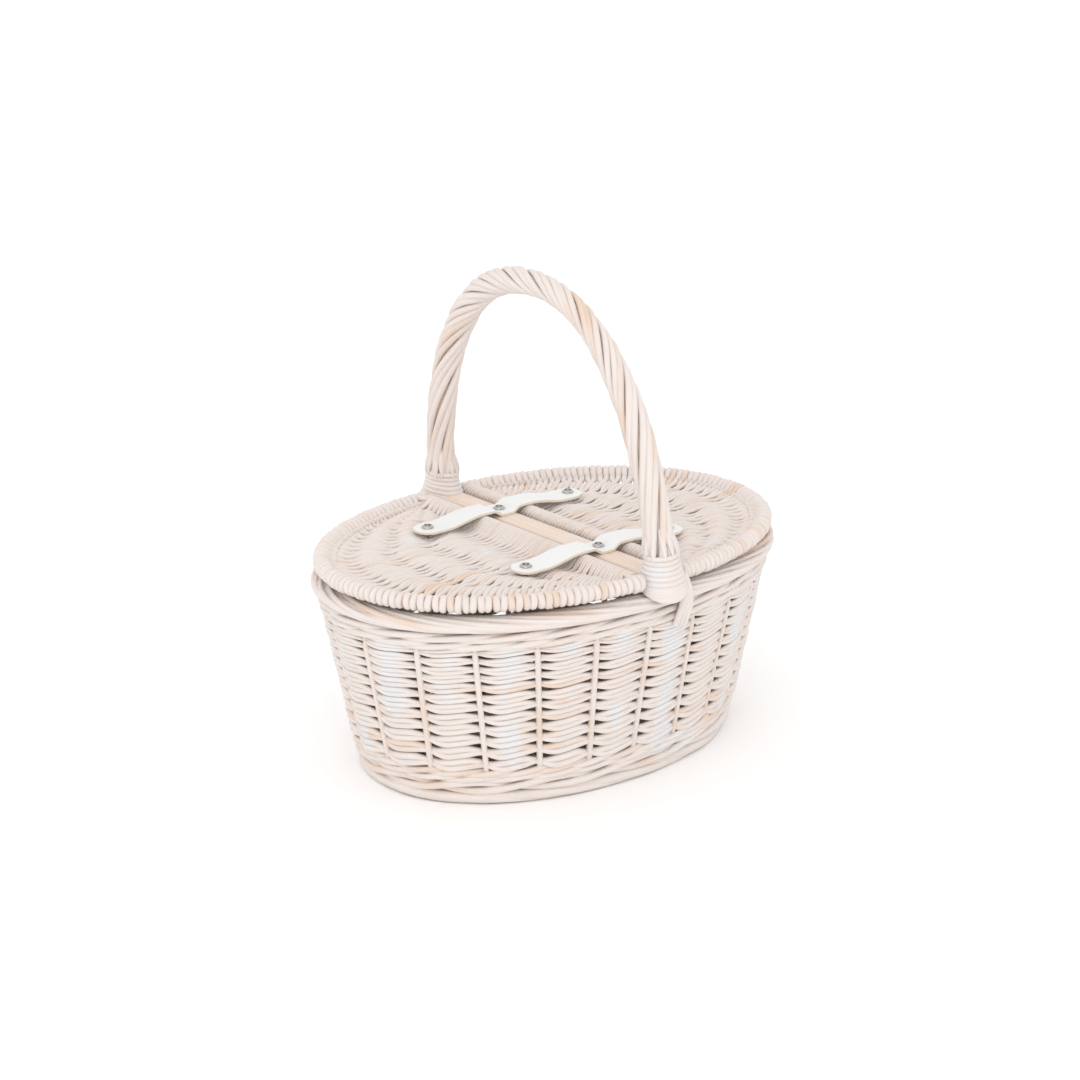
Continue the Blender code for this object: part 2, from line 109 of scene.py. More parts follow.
LID_EDGE_RADIUS = (LID_HIGH.z - LID_LOW.z) / 2
BOW_Z = (LID_LOW.z + LID_HIGH.z) / 2
LID_Z = (PANEL_LOW.z + PANEL_HIGH.z) / 2
STRAP_THICKNESS = 2.5 * MM
# a rivet's cap from its middle to the shank, as (radius, height) in millimetres, with the groove at 2 mm
RIVET_CAP = ((0, 0), (0.9, -0.08), (1.4, -0.3), (1.55, -0.8), (2.3, -0.8), (2.5, -0.25), (3.3, -0.45),
             (4.1, -1.0), (4.5, -1.7), (4.5, -2.0), (1.5, -2.0))

# ---------------------------------------------------------------- finishes and light
# how much whitewash and how much bare wood shows on each part of the weaving
WILLOW_FINISHES = {
    "washed_willow_siding": (0.10, 0.05),
    "washed_willow_lids": (0.02, 0.08),
    "washed_willow_border": (-0.02, 0.12),
    "washed_willow_handle": (0.02, 0.10),
}
WOOD_IOR = 1.45
LEATHER_IOR = 1.5
SLAT_TONES = ("DCC3B0", "E8D5C7", "EFE3DA")  # dark to light along the grain
SOILED_LEATHER = "ECE9E0"
STRAP_SIDE_SHADE = "E6DCC8"
# dark grey painted into each rivet cap's groove: painted shade and painted dark reflections
GROOVE_SHADE_AND_REFLECTION = "4A4744"
GRAIN_SKIP = 0.37  # metres of grain left out from one rod to the next, so that no two look alike
SKY_STRENGTH = 1.05
FLOOR_RADIUS = 14.0
# name, place and size in metres, watts
LIGHTS = (("key", (-1.5, -0.9, 1.9), 1.3, 6.0), ("front", (-1.3, -1.9, 0.9), 1.6, 5.0))


# ---------------------------------------------------------------- sizes and colours a user would change
class BasketSizes(bpy.types.PropertyGroup):
    """Sizes of the weaving."""

    stakes: IntProperty(name="Stakes", description="Upright rods round the wall; every other one shows",
                        default=44, min=12, max=80)
    rows: IntProperty(name="Rows", description="Rows of paired weavers in the siding", default=12, min=4, max=20)
    stake_radius: FloatProperty(name="Stake Radius", description="Radius of an upright rod",
                                default=2.4 * MM, unit="LENGTH")
    lid_pairs: IntProperty(name="Lid Pairs", description="Pairs of weavers across one lid",
                           default=44, min=12, max=80)
    strands: IntProperty(name="Handle Strands", description="Rods laid round the handle's core",
                         default=10, min=4, max=16)
    turns: FloatProperty(name="Handle Turns", description="Turns of the handle's twist from foot to foot",
                         default=3.5)


class BasketColours(bpy.types.PropertyGroup):
    """Colours of the basket's materials, as sRGB hex values."""

    bark: StringProperty(name="Bare Willow", description="Willow where the wash has worn off",
                         default="E3CDBC")
    willow: StringProperty(name="Willow", description="Willow under a thin wash", default="E6DCD6")
    wash: StringProperty(name="Whitewash", description="Thick whitewash on the raised ribs", default="E3E1E1")
    # the inside colour is partly unwashed willow and partly painted shade on the rods deep in the weaving, seen
    # through its slots
    inside: StringProperty(name="Inside", description="Unwashed willow on the inside", default="C8B6A8")
    leather: StringProperty(name="Leather", description="Face of the straps", default="E8E8E8")
    nickel: StringProperty(name="Nickel", description="Rivets and washers", default="B9B7B2")


# ---------------------------------------------------------------- colours and nodes
def srgb(code):
    """An sRGB hex value as a linear colour with alpha."""
    parts = [int(code[i:i + 2], 16) / 255 for i in (0, 2, 4)]
    linear = [c / 12.92 if c <= 0.04045 else ((c + 0.055) / 1.055) ** 2.4 for c in parts]
    return (*linear, 1.0)


def set_inputs(tree, node, **inputs):
    """Links or sets a node's inputs, by name with underscores or by number, as i0."""
    for key, value in inputs.items():
        numbered = key[0] == "i" and key[1:].isdigit()
        socket = node.inputs[int(key[1:]) if numbered else key.replace("_", " ")]
        if isinstance(value, bpy.types.NodeSocket):
            tree.links.new(value, socket)
        else:
            socket.default_value = value


def add_node(tree, kind, settings=None, **inputs):
    """Adds a node, sets its properties, and links or sets its inputs."""
    node = tree.nodes.new("ShaderNode" + kind)
    for key, value in (settings or {}).items():
        setattr(node, key, value)
    set_inputs(tree, node, **inputs)
    return node


def blank_material(name, colour):
    """A new material, its node tree and its shader."""
    made = bpy.data.materials.new(name)
    made.use_nodes = True
    made.diffuse_color = colour
    return made, made.node_tree, made.node_tree.nodes["Principled BSDF"]


def washed_willow(name, wash_amount, bare_amount):
    """Peeled white willow, brushed with thin whitewash and rubbed back: chalky and matt.

    The wash is thick on raised ribs (attribute "proud"), which also paints shade into the recesses where it thins,
    and in patches about 40 mm wide; the bare wood shows in streaks along each rod, and each rod has a tone of its
    own (attribute "tone").
    """
    colours = bpy.context.scene.basket_colours
    made, tree, shader = blank_material(name, srgb(colours.willow))
    rod = add_node(tree, "Attribute", {"attribute_name": "rod"}).outputs["Vector"]
    tone, proud, inside = (add_node(tree, "Attribute", {"attribute_name": key}).outputs["Fac"]
                           for key in ("tone", "proud", "inside"))
    place = add_node(tree, "TexCoord").outputs["Object"]

    # grain: streaks about 0.8 mm wide and 25 mm long, laid along the rod
    along = add_node(tree, "Mapping", Vector=rod, Scale=(0.04 / MM, 1.2 / MM, 1.2 / MM)).outputs["Vector"]
    grain = add_node(tree, "TexNoise", Vector=along, Scale=1.0, Detail=3.0, Roughness=0.6).outputs["Fac"]
    # each rod drifts in tone over about 60 mm
    along = add_node(tree, "Mapping", Vector=rod, Scale=(0.016 / MM, 0.05 / MM, 0.05 / MM)).outputs["Vector"]
    drift = add_node(tree, "TexNoise", Vector=along, Scale=1.0, Detail=2.0).outputs["Fac"]
    # patches of thick wash, about 40 mm wide
    patches = add_node(tree, "TexNoise", Vector=place, Scale=0.025 / MM, Detail=3.0, Roughness=0.55).outputs["Fac"]
    # the wash is rubbed away over broad areas, about 70 mm wide
    rubbed = add_node(tree, "TexNoise", Vector=place, Scale=0.014 / MM, Detail=2.0).outputs["Fac"]

    worn = drift
    for source, weight in ((tone, 0.45), (rubbed, 0.9), (grain, 0.35)):
        worn = add_node(tree, "Math", {"operation": "MULTIPLY_ADD"}, i0=source, i1=weight,
                        i2=worn).outputs["Value"]
    bare = add_node(tree, "MapRange", {"interpolation_type": "SMOOTHSTEP"}, Value=worn,
                    From_Min=1.50 - bare_amount, From_Max=1.84 - bare_amount).outputs["Result"]
    # more wash where the rod stands proud and less where it bends in: partly real wash, partly painted shade in
    # the recesses
    washed = patches
    for source, weight in ((proud, 0.30), (grain, 0.25)):
        washed = add_node(tree, "Math", {"operation": "MULTIPLY_ADD"}, i0=source, i1=weight,
                          i2=washed).outputs["Value"]
    cover = add_node(tree, "MapRange", {"interpolation_type": "SMOOTHSTEP"}, Value=washed,
                     From_Min=0.92 - wash_amount, From_Max=1.10 - wash_amount).outputs["Result"]
    # greyer in the finest grain lines
    shade = add_node(tree, "MapRange", Value=grain, From_Min=0.30, From_Max=0.55, To_Min=0.90,
                     To_Max=1.0).outputs["Result"]
    # inside colour over the rods deep in the wall: partly unwashed willow, partly painted shade in the slots and
    # recesses
    unwashed = add_node(tree, "Math", {"operation": "MULTIPLY"}, i0=inside, i1=0.9).outputs["Value"]
    colour = srgb(colours.willow)
    for blend, factor, layer in (("MIX", bare, srgb(colours.bark)), ("MIX", cover, srgb(colours.wash)),
                                 ("MULTIPLY", 1.0, shade), ("MIX", unwashed, srgb(colours.inside))):
        colour = add_node(tree, "Mix", {"data_type": "RGBA", "blend_type": blend}, i0=factor, i6=colour,
                          i7=layer).outputs[2]
    rough = add_node(tree, "MapRange", Value=cover, To_Min=0.58, To_Max=0.85)
    bump = add_node(tree, "Bump", Strength=0.35, Distance=0.25 * MM, Height=grain)
    set_inputs(tree, shader, Base_Color=colour, Roughness=rough.outputs["Result"], IOR=WOOD_IOR,
               Normal=bump.outputs["Normal"])
    return made


def bare_slat_wood(name):
    """A planed slat of the same willow, unwashed on top: warm, with grain along it."""
    colours = bpy.context.scene.basket_colours
    made, tree, shader = blank_material(name, srgb(colours.bark))
    place = add_node(tree, "TexCoord").outputs["Object"]
    # grain lines about 1 mm apart and 40 mm long, along the slat
    along = add_node(tree, "Mapping", Vector=place, Scale=(1.0 / MM, 0.025 / MM, 1.0 / MM)).outputs["Vector"]
    grain = add_node(tree, "TexNoise", Vector=along, Scale=1.0, Detail=4.0, Roughness=0.65).outputs["Fac"]
    patch = add_node(tree, "TexNoise", Vector=place, Scale=0.03 / MM, Detail=3.0).outputs["Fac"]
    wood = add_node(tree, "ValToRGB", Fac=grain)
    tones = wood.color_ramp.elements
    tones.new(0.5)
    for element, position, code in zip(tones, (0.30, 0.52, 0.75), SLAT_TONES):
        element.position = position
        element.color = srgb(code)
    cover = add_node(tree, "MapRange", {"interpolation_type": "SMOOTHSTEP"}, Value=patch, From_Min=0.52,
                     From_Max=0.74, To_Max=0.6)
    colour = add_node(tree, "Mix", {"data_type": "RGBA"}, i0=cover.outputs["Result"], i6=wood.outputs["Color"],
                      i7=srgb(colours.wash)).outputs[2]
    bump = add_node(tree, "Bump", Strength=0.3, Distance=0.2 * MM, Height=grain)
    set_inputs(tree, shader, Base_Color=colour, Roughness=0.62, IOR=WOOD_IOR, Normal=bump.outputs["Normal"])
    return made


def white_leather(name):
    """Chrome-tanned cowhide with a white pigment finish: smooth, soft sheen, fine pores, and painted shade of a
    darker cream on its side faces.
    """
    colours = bpy.context.scene.basket_colours
    made, tree, shader = blank_material(name, srgb(colours.leather))
    place = add_node(tree, "TexCoord").outputs["Object"]
    edge = add_node(tree, "Attribute", {"attribute_name": "edge"}).outputs["Fac"]
    # pores, drawn at 0.9 mm, coarser than real ones, so that they show
    pores = add_node(tree, "TexVoronoi", {"feature": "DISTANCE_TO_EDGE"}, Vector=place, Scale=1.1 / MM)
    # handling has soiled it in patches about 17 mm wide
    soil = add_node(tree, "TexNoise", Vector=place, Scale=0.06 / MM, Detail=4.0).outputs["Fac"]
    tint = add_node(tree, "MapRange", {"interpolation_type": "SMOOTHSTEP"}, Value=soil, From_Min=0.48,
                    From_Max=0.75, To_Max=0.45).outputs["Result"]
    colour = srgb(colours.leather)
    # the side faces (attribute edge) take a darker cream: painted shade
    for factor, layer in ((tint, SOILED_LEATHER), (edge, STRAP_SIDE_SHADE)):
        colour = add_node(tree, "Mix", {"data_type": "RGBA"}, i0=factor, i6=colour, i7=srgb(layer)).outputs[2]
    bump = add_node(tree, "Bump", Strength=0.15, Distance=0.1 * MM, Height=pores.outputs["Distance"])
    set_inputs(tree, shader, Base_Color=colour, Roughness=0.42, IOR=LEATHER_IOR, Normal=bump.outputs["Normal"])
    return made


def nickel_plate(name, code):
    """Nickel-plated steel, pressed and barrel-polished: a warm grey mirror softened by fine scuffs."""
    made, tree, shader = blank_material(name, srgb(code))
    place = add_node(tree, "TexCoord").outputs["Object"]
    # scuffs about 1 mm wide
    scuffs = add_node(tree, "TexNoise", Vector=place, Scale=0.9 / MM, Detail=4.0).outputs["Fac"]
    rough = add_node(tree, "MapRange", Value=scuffs, From_Min=0.35, From_Max=0.7, To_Min=0.22, To_Max=0.42)
    set_inputs(tree, shader, Base_Color=srgb(code), Metallic=1.0, Roughness=rough.outputs["Result"])
    return made


def finish(name):
    """A material by name, made once."""
    if name in bpy.data.materials:
        return bpy.data.materials[name]
    if name in WILLOW_FINISHES:
        return washed_willow(name, *WILLOW_FINISHES[name])
    if name == "planed_willow_slat":
        return bare_slat_wood(name)
    if name == "white_cowhide":
        return white_leather(name)
    # the second nickel is painted dark for the shade and reflections in the rivet grooves
    codes = {"nickel_plated_steel": bpy.context.scene.basket_colours.nickel, "nickel_groove_shade_and_reflection": GROOVE_SHADE_AND_REFLECTION}
    return nickel_plate(name, codes[name])


# ---------------------------------------------------------------- ovals and arcs
def signed_power(value, power):
    """A power that keeps the value's sign."""
    return math.copysign(abs(value) ** power, value)


def oval_point(half, turn, inset=0.0):
    """A point on an oval at a turn, the inset inside its edge."""
    c, s = math.cos(turn), math.sin(turn)
    x = half[0] * signed_power(c, 2 / OVAL_POWER)
    y = half[1] * signed_power(s, 2 / OVAL_POWER)
    normal = oval_normal(half, x, y)
    return Vector((x, y, 0)) - normal * inset


def oval_normal(half, x, y):
    """The outward direction at a point of an oval's edge."""
    return Vector((
        signed_power(x / half[0], OVAL_POWER - 1) / half[0],
        signed_power(y / half[1], OVAL_POWER - 1) / half[1],
        0,
    )).normalized()


class EvenOval:
    """Turns the share of the way round an oval into a turn, so that what repeats round it is evenly spaced."""

    def __init__(self, half, steps=1440):
        self.turns = [TAU * k / steps for k in range(steps + 1)]
        points = [oval_point(half, turn) for turn in self.turns]
        self.runs = [0.0]
        for a, b in zip(points, points[1:]):
            self.runs.append(self.runs[-1] + (b - a).length)
        self.length = self.runs[-1]

    def turn(self, share):
        whole = math.floor(share)
        return float(np.interp((share - whole) * self.length, self.runs, self.turns)) + TAU * whole


ROUND = EvenOval(SHOULDER_HALF)


def smooth_step(value):
    """0 up to 0, 1 from 1, and an even curve between."""
    value = min(max(value, 0.0), 1.0)
    return value * value * (3 - 2 * value)


def wall_half(height):
    """Half axes of the wall's outer face at a height."""
    share = min(max(height / SHOULDER_Z, 0.0), 1.0)
    return tuple(foot + (top - foot) * share for foot, top in zip(FOOT_HALF, SHOULDER_HALF))


def wall_point(share, height, depth):
    """A point a share of the way round the wall, that far inside its outer face."""
    return oval_point(wall_half(height), ROUND.turn(share), depth) + Vector((0, 0, height))


def level_ring(half, depth, height, count=160):
    """A level ring of points, that far inside an oval's edge."""
    return [oval_point(half, ROUND.turn(k / count), depth) + Vector((0, 0, height)) for k in range(count)]


def inside_and_recess_shade(places):
    """How far places lie on the inside, whose colour is partly unwashed willow and partly painted shade in the
    slots and recesses: 0 down to 5.6 mm from the wall's outer face, 1 from 8.1 mm.
    """
    share = np.clip(places[:, 2] / SHOULDER_Z, 0, 1)
    x, y = (np.abs(places[:, axis]) / (FOOT_HALF[axis] + (SHOULDER_HALF[axis] - FOOT_HALF[axis]) * share)
            for axis in (0, 1))
    reach = (x ** OVAL_POWER + y ** OVAL_POWER) ** (1 / OVAL_POWER)
    depth = (1 / reach - 1) * np.hypot(places[:, 0], places[:, 1])
    return (depth - 5.6 * MM) / (2.5 * MM)


def handle_arch(count, steps=720):
    """Evenly spaced points along the handle's centre line, from the front foot to the back."""
    fine = []
    for step in range(steps + 1):
        turn = math.pi * step / steps
        across = -signed_power(math.cos(turn), 2 / ARCH_POWER)
        up = math.sin(turn) ** (2 / ARCH_POWER) if 0 < step < steps else 0.0
        lean = HANDLE_LEAN * up * smooth_step(up / LEAN_EASE)
        fine.append((abs(HANDLE_FOOT.y) * across + lean, HANDLE_FOOT.z + HANDLE_RISE * up))
    fine = np.array(fine)
    run = np.concatenate([[0], np.cumsum(np.linalg.norm(np.diff(fine, axis=0), axis=1))])
    goal = np.linspace(0, run[-1], count)
    return [Vector((0, y, z)) for y, z in zip(np.interp(goal, run, fine[:, 0]),
                                              np.interp(goal, run, fine[:, 1]))]


# ---------------------------------------------------------------- pieces and rods
def mesh_of(shape, name):
    """A bmesh made into a mesh."""
    mesh = bpy.data.meshes.new(name)
    shape.to_mesh(mesh)
    shape.free()
    return mesh


def piece_of(mesh, materials, sharp=60):
    """An object at the origin with a finished mesh, smooth but for edges over that many degrees."""
    mesh.shade_smooth()
    mesh.set_sharp_from_angle(angle=math.radians(sharp))
    for material in materials:
        mesh.materials.append(finish(material))
    made = bpy.data.objects.new(mesh.name, mesh)
    bpy.context.scene.collection.objects.link(made)
    return made


def dress(node, material):
    """Gives a CAD node that stays its material."""
    node.data.materials.clear()
    node.data.materials.append(finish(material))


class Bundle:
    """Rods gathered into one piece. Each is a run of points with radii, a tone, and how proud its points stand."""

    def __init__(self, sides=8):
        self.sides = sides
        self.rods = []

    def add(self, points, radii, tone, proud=0.0, closed=False):
        """Adds a rod. One radius or one proud value stands for all its points."""
        count = len(points)
        radii = [radii] * count if isinstance(radii, float) else radii
        proud = [proud] * count if isinstance(proud, (int, float)) else proud
        self.rods.append((points, radii, tone, proud, closed))

    def piece(self, name, material, body, nodes=(), within=None):
        """Makes the curve, turns it into a mesh, and writes where each corner lies on its rod.

        The piece replaces the CAD nodes named. The function within tells, from the corners' places, how far
        each lies on the inside, whose colour is partly unwashed willow and partly painted shade.
        """
        curve = bpy.data.curves.new(name, "CURVE")
        curve.dimensions = "3D"
        curve.bevel_depth = 1.0
        curve.bevel_resolution = (self.sides - 4) // 2
        curve.use_fill_caps = True
        curve.twist_mode = "MINIMUM"
        for points, radii, _, _, closed in self.rods:
            line = curve.splines.new("POLY")
            line.points.add(len(points) - 1)
            line.points.foreach_set("co", [c for p in points for c in (*p, 1.0)])
            line.points.foreach_set("radius", radii)
            line.use_cyclic_u = closed
        holder = bpy.data.objects.new(name + "_curve", curve)
        bpy.context.scene.collection.objects.link(holder)
        bpy.context.view_layer.update()
        graph = bpy.context.evaluated_depsgraph_get()
        mesh = bpy.data.meshes.new_from_object(holder.evaluated_get(graph))
        bpy.data.objects.remove(holder)
        bpy.data.curves.remove(curve)
        mesh.name = name
        self.write_attributes(mesh)
        # the inside share marks rods deep in the weaving for the inside colour, which is partly painted shade
        if within:
            places = np.empty(len(mesh.vertices) * 3)
            mesh.vertices.foreach_get("co", places)
            shares = np.clip(within(places.reshape(-1, 3)), 0, 1)
            mesh.attributes.new("inside", "FLOAT", "POINT").data.foreach_set("value", shares)
        mesh.materials.clear()
        made = piece_of(mesh, [material])
        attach(made, body)
        if nodes:
            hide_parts(*nodes)

    def write_attributes(self, mesh):
        """Marks each corner with its place on its rod. The curve's end caps come first, the last rod's first."""
        bodies, caps = [], []
        start = 0.0
        for points, radii, own_tone, own_proud, closed in self.rods:
            run = 0.0
            last = points[0]
            rings = []
            for point, radius, lift in zip(points, radii, own_proud):
                run += (point - last).length
                last = point
                rings.append([(start + run, start * 3.1 + radius * math.cos(TAU * side / self.sides),
                               radius * math.sin(TAU * side / self.sides), own_tone, lift)
                              for side in range(self.sides)])
            bodies += [corner for ring in rings for corner in ring]
            if not closed:
                caps = rings[-1] + rings[0] + caps
            start += run + GRAIN_SKIP
        corners = np.array(caps + bodies)
        if len(corners) != len(mesh.vertices):
            raise RuntimeError(f"{mesh.name}: {len(corners)} corners expected, {len(mesh.vertices)} found")
        mesh.attributes.new("rod", "FLOAT_VECTOR", "POINT").data.foreach_set("vector", corners[:, :3].ravel())
        for column, key in ((3, "tone"), (4, "proud")):
            mesh.attributes.new(key, "FLOAT", "POINT").data.foreach_set("value", corners[:, column].copy())
        closing = bmesh.new()
        closing.from_mesh(mesh)
        bmesh.ops.remove_doubles(closing, verts=closing.verts, dist=0.001 * MM)
        closing.to_mesh(mesh)
        closing.free()


# ---------------------------------------------------------------- the wall
def row_heights(rows):
    """Middle height and pitch of each row of siding, from 1.25 times the mean at the foot to 0.75 at the top."""
    shares = [1.25 - 0.5 * k / (rows - 1) for k in range(rows)]
    unit = (SIDING_HIGH.z - SIDING_LOW.z) / sum(shares)
    heights, at = [], SIDING_LOW.z
    for share in shares:
        heights.append((at + share * unit / 2, share * unit))
        at += share * unit
    return heights


def weave_siding():
    """Rows of paired weavers: out over every other stake in a tight rib, in behind the rest, where they pinch."""
    sizes = bpy.context.scene.basket_sizes
    rng = random.Random(11)
    bundle = Bundle()
    ribs = sizes.stakes // 2
    samples = ribs * 14
    spacing = ROUND.length / ribs
    behind_reach = 4.2 * MM
    pinch_start, pinch_length = 3.0 * MM, 13.0 * MM
    for height, pitch in row_heights(sizes.rows):
        push = [rng.uniform(-1, 1) for _ in range(ribs)]
        squeeze = [rng.uniform(0.62, 1.12) for _ in range(ribs)]
        for upper in (-1, 1):
            points, radii, proud = [], [], []
            tone = rng.random()
            ride = [rng.uniform(-1, 1) for _ in range(ribs)]
            for k in range(samples):
                share = k / samples
                phase = TAU * ribs * (share - STAKE_SHIFT)
                rib = int((share - STAKE_SHIFT) * ribs + 0.5) % ribs
                from_stake = abs(((share - STAKE_SHIFT) * ribs) % 1 - 0.5) * spacing
                behind = math.exp(-(from_stake / behind_reach) ** 2)
                bulge = 0.5 + 0.5 * math.cos(phase)
                tuck = 1 - smooth_step((from_stake - pinch_start) / pinch_length)
                gap = pitch * (0.247 - 0.170 * tuck * squeeze[rib])
                slant = math.sin(phase) * pitch * 0.13
                depth = SIDING_DEPTH + (2.4 * behind - 1.5 * bulge + 0.7 * upper * tuck
                                        + 0.4 * push[rib] * (1 - tuck)) * MM
                rise = upper * gap + slant + 0.35 * MM * push[rib] + 0.2 * MM * ride[rib] * (1 - tuck)
                points.append(wall_point(share, height + rise, depth))
                radii.append(pitch * (0.268 - 0.062 * tuck))
                proud.append(bulge)
            bundle.add(points, radii, tone, proud, closed=True)
    bundle.piece("siding_weavers", "washed_willow_siding", BODY, ["side_weave"], inside_and_recess_shade)


def set_stakes():
    """Upright rods from the foot to the rim. Every other one shows, and all tuck in behind the wales."""
    sizes = bpy.context.scene.basket_sizes
    rng = random.Random(23)
    bundle = Bundle()
    steps, bottom = 24, 6 * MM
    tuck_low, tuck_high, tuck_over, tuck_depth = 22 * MM, 122 * MM, 8 * MM, 8.4 * MM
    for k in range(sizes.stakes):
        share = k / sizes.stakes + STAKE_SHIFT
        lean = rng.uniform(-0.5, 0.5) * MM / ROUND.length
        depth = SIDING_DEPTH + (0.7 * MM if k % 2 == 1 else 3.4 * MM)
        radius = sizes.stake_radius * rng.uniform(0.86, 1.1)
        points = []
        for step in range(steps + 1):
            height = bottom + (SHOULDER_Z + 2 * MM - bottom) * step / steps
            low, high = (smooth_step((height - at) / tuck_over) for at in (tuck_low, tuck_high))
            tucked = 1 - low + high
            points.append(wall_point(share + lean * (step / 3 - 4), height, depth + (tuck_depth - depth) * tucked))
        bundle.add(points, radius, 0.35 + 0.5 * rng.random(), 0.6)
    bundle.piece("stakes", "washed_willow_border", BODY, [], inside_and_recess_shade)


def wale_rows(bundle, rng, rows, radius, swing_out, swing_up, depth):
    """Waling: three rods to a row, each out over a long stroke and then in behind, one after another.

    Each row is a height and the number of strokes that a rod takes on its way round.
    """
    for height, strokes in rows:
        samples = strokes * 16
        for rod in range(3):
            points, proud = [], []
            tone = rng.random()
            for k in range(samples):
                share = k / samples
                phase = TAU * (strokes * share + rod / 3)
                points.append(wall_point(share, height + swing_up * math.sin(phase),
                                         depth - swing_out * math.cos(phase)))
                proud.append(max(math.cos(phase), 0.0) * 0.6)
            bundle.add(points, radius, tone, proud, closed=True)


def weave_bottom_wale():
    """The heavier weaving above the foot: long slanting strokes over a chain of two stout rods."""
    bundle = Bundle()
    span = BOTTOM_HIGH.z - BOTTOM_LOW.z
    rows = [(BOTTOM_LOW.z + span * share, strokes) for share, strokes in ((0.60, 9), (0.88, 11))]
    wale_rows(bundle, random.Random(5), rows, 2.4 * MM, 3.4 * MM, 1.7 * MM, 6.6 * MM)
    samples, crossings = 240, 7
    for rod in range(2):
        points = []
        for k in range(samples):
            phase = TAU * (crossings * k / samples + rod / 2) + 0.7 * math.sin(TAU * 2 * k / samples)
            points.append(wall_point(k / samples, BOTTOM_LOW.z + (2.4 + 3.4 * math.sin(phase)) * MM,
                                     (5.2 - 1.8 * math.cos(phase)) * MM))
        bundle.add(points, 2.9 * MM, 0.5 + 0.4 * rod, 0.4, closed=True)
    bundle.piece("bottom_wale_rods", "washed_willow_siding", BODY, ["bottom_wale"], inside_and_recess_shade)


def weave_top_wale():
    """Two rows of waling under the rim, long and nearly level, with plain rows behind that close the wall."""
    bundle = Bundle()
    span = WALE_HIGH.z - WALE_LOW.z
    rows = [(WALE_LOW.z + span * share, strokes) for share, strokes in ((0.20, 11), (0.74, 8))]
    for rise in (-1.5, 2.0, 5.5, 9.0, 12.5, 16.0):
        height = WALE_LOW.z + rise * MM
        bundle.add(level_ring(wall_half(height), 10 * MM, height), 2.1 * MM, 0.6, 0.0, closed=True)
    wale_rows(bundle, random.Random(7), rows, 2.5 * MM, 2.9 * MM, 1.6 * MM, 6.0 * MM)
    bundle.piece("top_wale_rods", "washed_willow_border", BODY, ["top_wale"], inside_and_recess_shade)


def lay_rim_border():
    """The stakes' ends, turned down and laid over each other round the rim, on a packing of plain rods.

    Each end rolls over the rim's section as it goes, from the inside up over the top and down the outside.
    """
    rng = random.Random(31)
    bundle = Bundle()
    middle = (RIM_LOW.z + RIM_HIGH.z) / 2
    for depth, height, radius in ((4.6, -0.4, 3.4), (9.0, 0.4, 3.8), (13.5, 0.4, 3.8), (17.5, -0.2, 3.6)):
        bundle.add(level_ring(RIM_HALF, depth * MM, middle + height * MM), radius * MM, 0.6, 0.0, closed=True)
    ends, steps, length_share, end_radius = 30, 26, 0.24, 2.7 * MM
    half_width, half_height = RIM_WIDTH / 2 - 2.4 * MM, 3.5 * MM
    first_roll, last_roll = math.radians(190), math.radians(-60)
    for k in range(ends):
        start = k / ends + rng.uniform(-0.1, 0.1) / ends
        span = length_share * rng.uniform(0.92, 1.08)
        points, radii = [], []
        size = end_radius * rng.uniform(0.9, 1.06)
        for step in range(steps + 1):
            share = step / steps
            roll = first_roll + (last_roll - first_roll) * (0.35 * share + 0.65 * smooth_step(share))
            depth = RIM_WIDTH / 2 - half_width * math.cos(roll)
            height = middle + 0.1 * MM + half_height * math.sin(roll)
            points.append(oval_point(RIM_HALF, ROUND.turn(start + span * share), depth) + Vector((0, 0, height)))
            radii.append(size * (1 - 0.25 * share))
        bundle.add(points, radii, rng.random(), 0.25)

    def inside_rim_and_shade(places):
        """The wash covers the rim's upper half on the inside too; below it the inside colour is partly unwashed
        willow and partly painted shade under the lid.
        """
        return np.minimum(inside_and_recess_shade(places), (middle - places[:, 2]) / (2 * MM))

    bundle.piece("rim_border_rods", "washed_willow_border", BODY, ["rim_border"], inside_rim_and_shade)


def lay_foot_border():
    """The thick rods that the basket stands on, roped together so loosely that gaps show above them."""
    rng = random.Random(37)
    bundle = Bundle()
    samples, turns, roll_radius = 240, 4, 1.7 * MM
    for strand in range(3):
        points, proud = [], []
        for k in range(samples):
            share = k / samples
            roll = TAU * (turns * share + strand / 3) + 0.5 * math.sin(TAU * 3 * share + 2 * strand)
            depth = 6.0 * MM - roll_radius * math.cos(roll)
            height = 5.6 * MM - roll_radius * math.sin(roll)
            points.append(oval_point(FOOT_HALF, ROUND.turn(share), depth) + Vector((0, 0, height)))
            proud.append(max(0.0, math.cos(roll)) * 0.5)
        bundle.add(points, 3.9 * MM, rng.random(), proud, closed=True)
    bundle.add(level_ring(FOOT_HALF, 12.0 * MM, 5 * MM), 3.5 * MM, 0.5, 0.0, closed=True)
    bundle.piece("foot_border_rods", "washed_willow_border", BODY, ["foot_border"], inside_and_recess_shade)


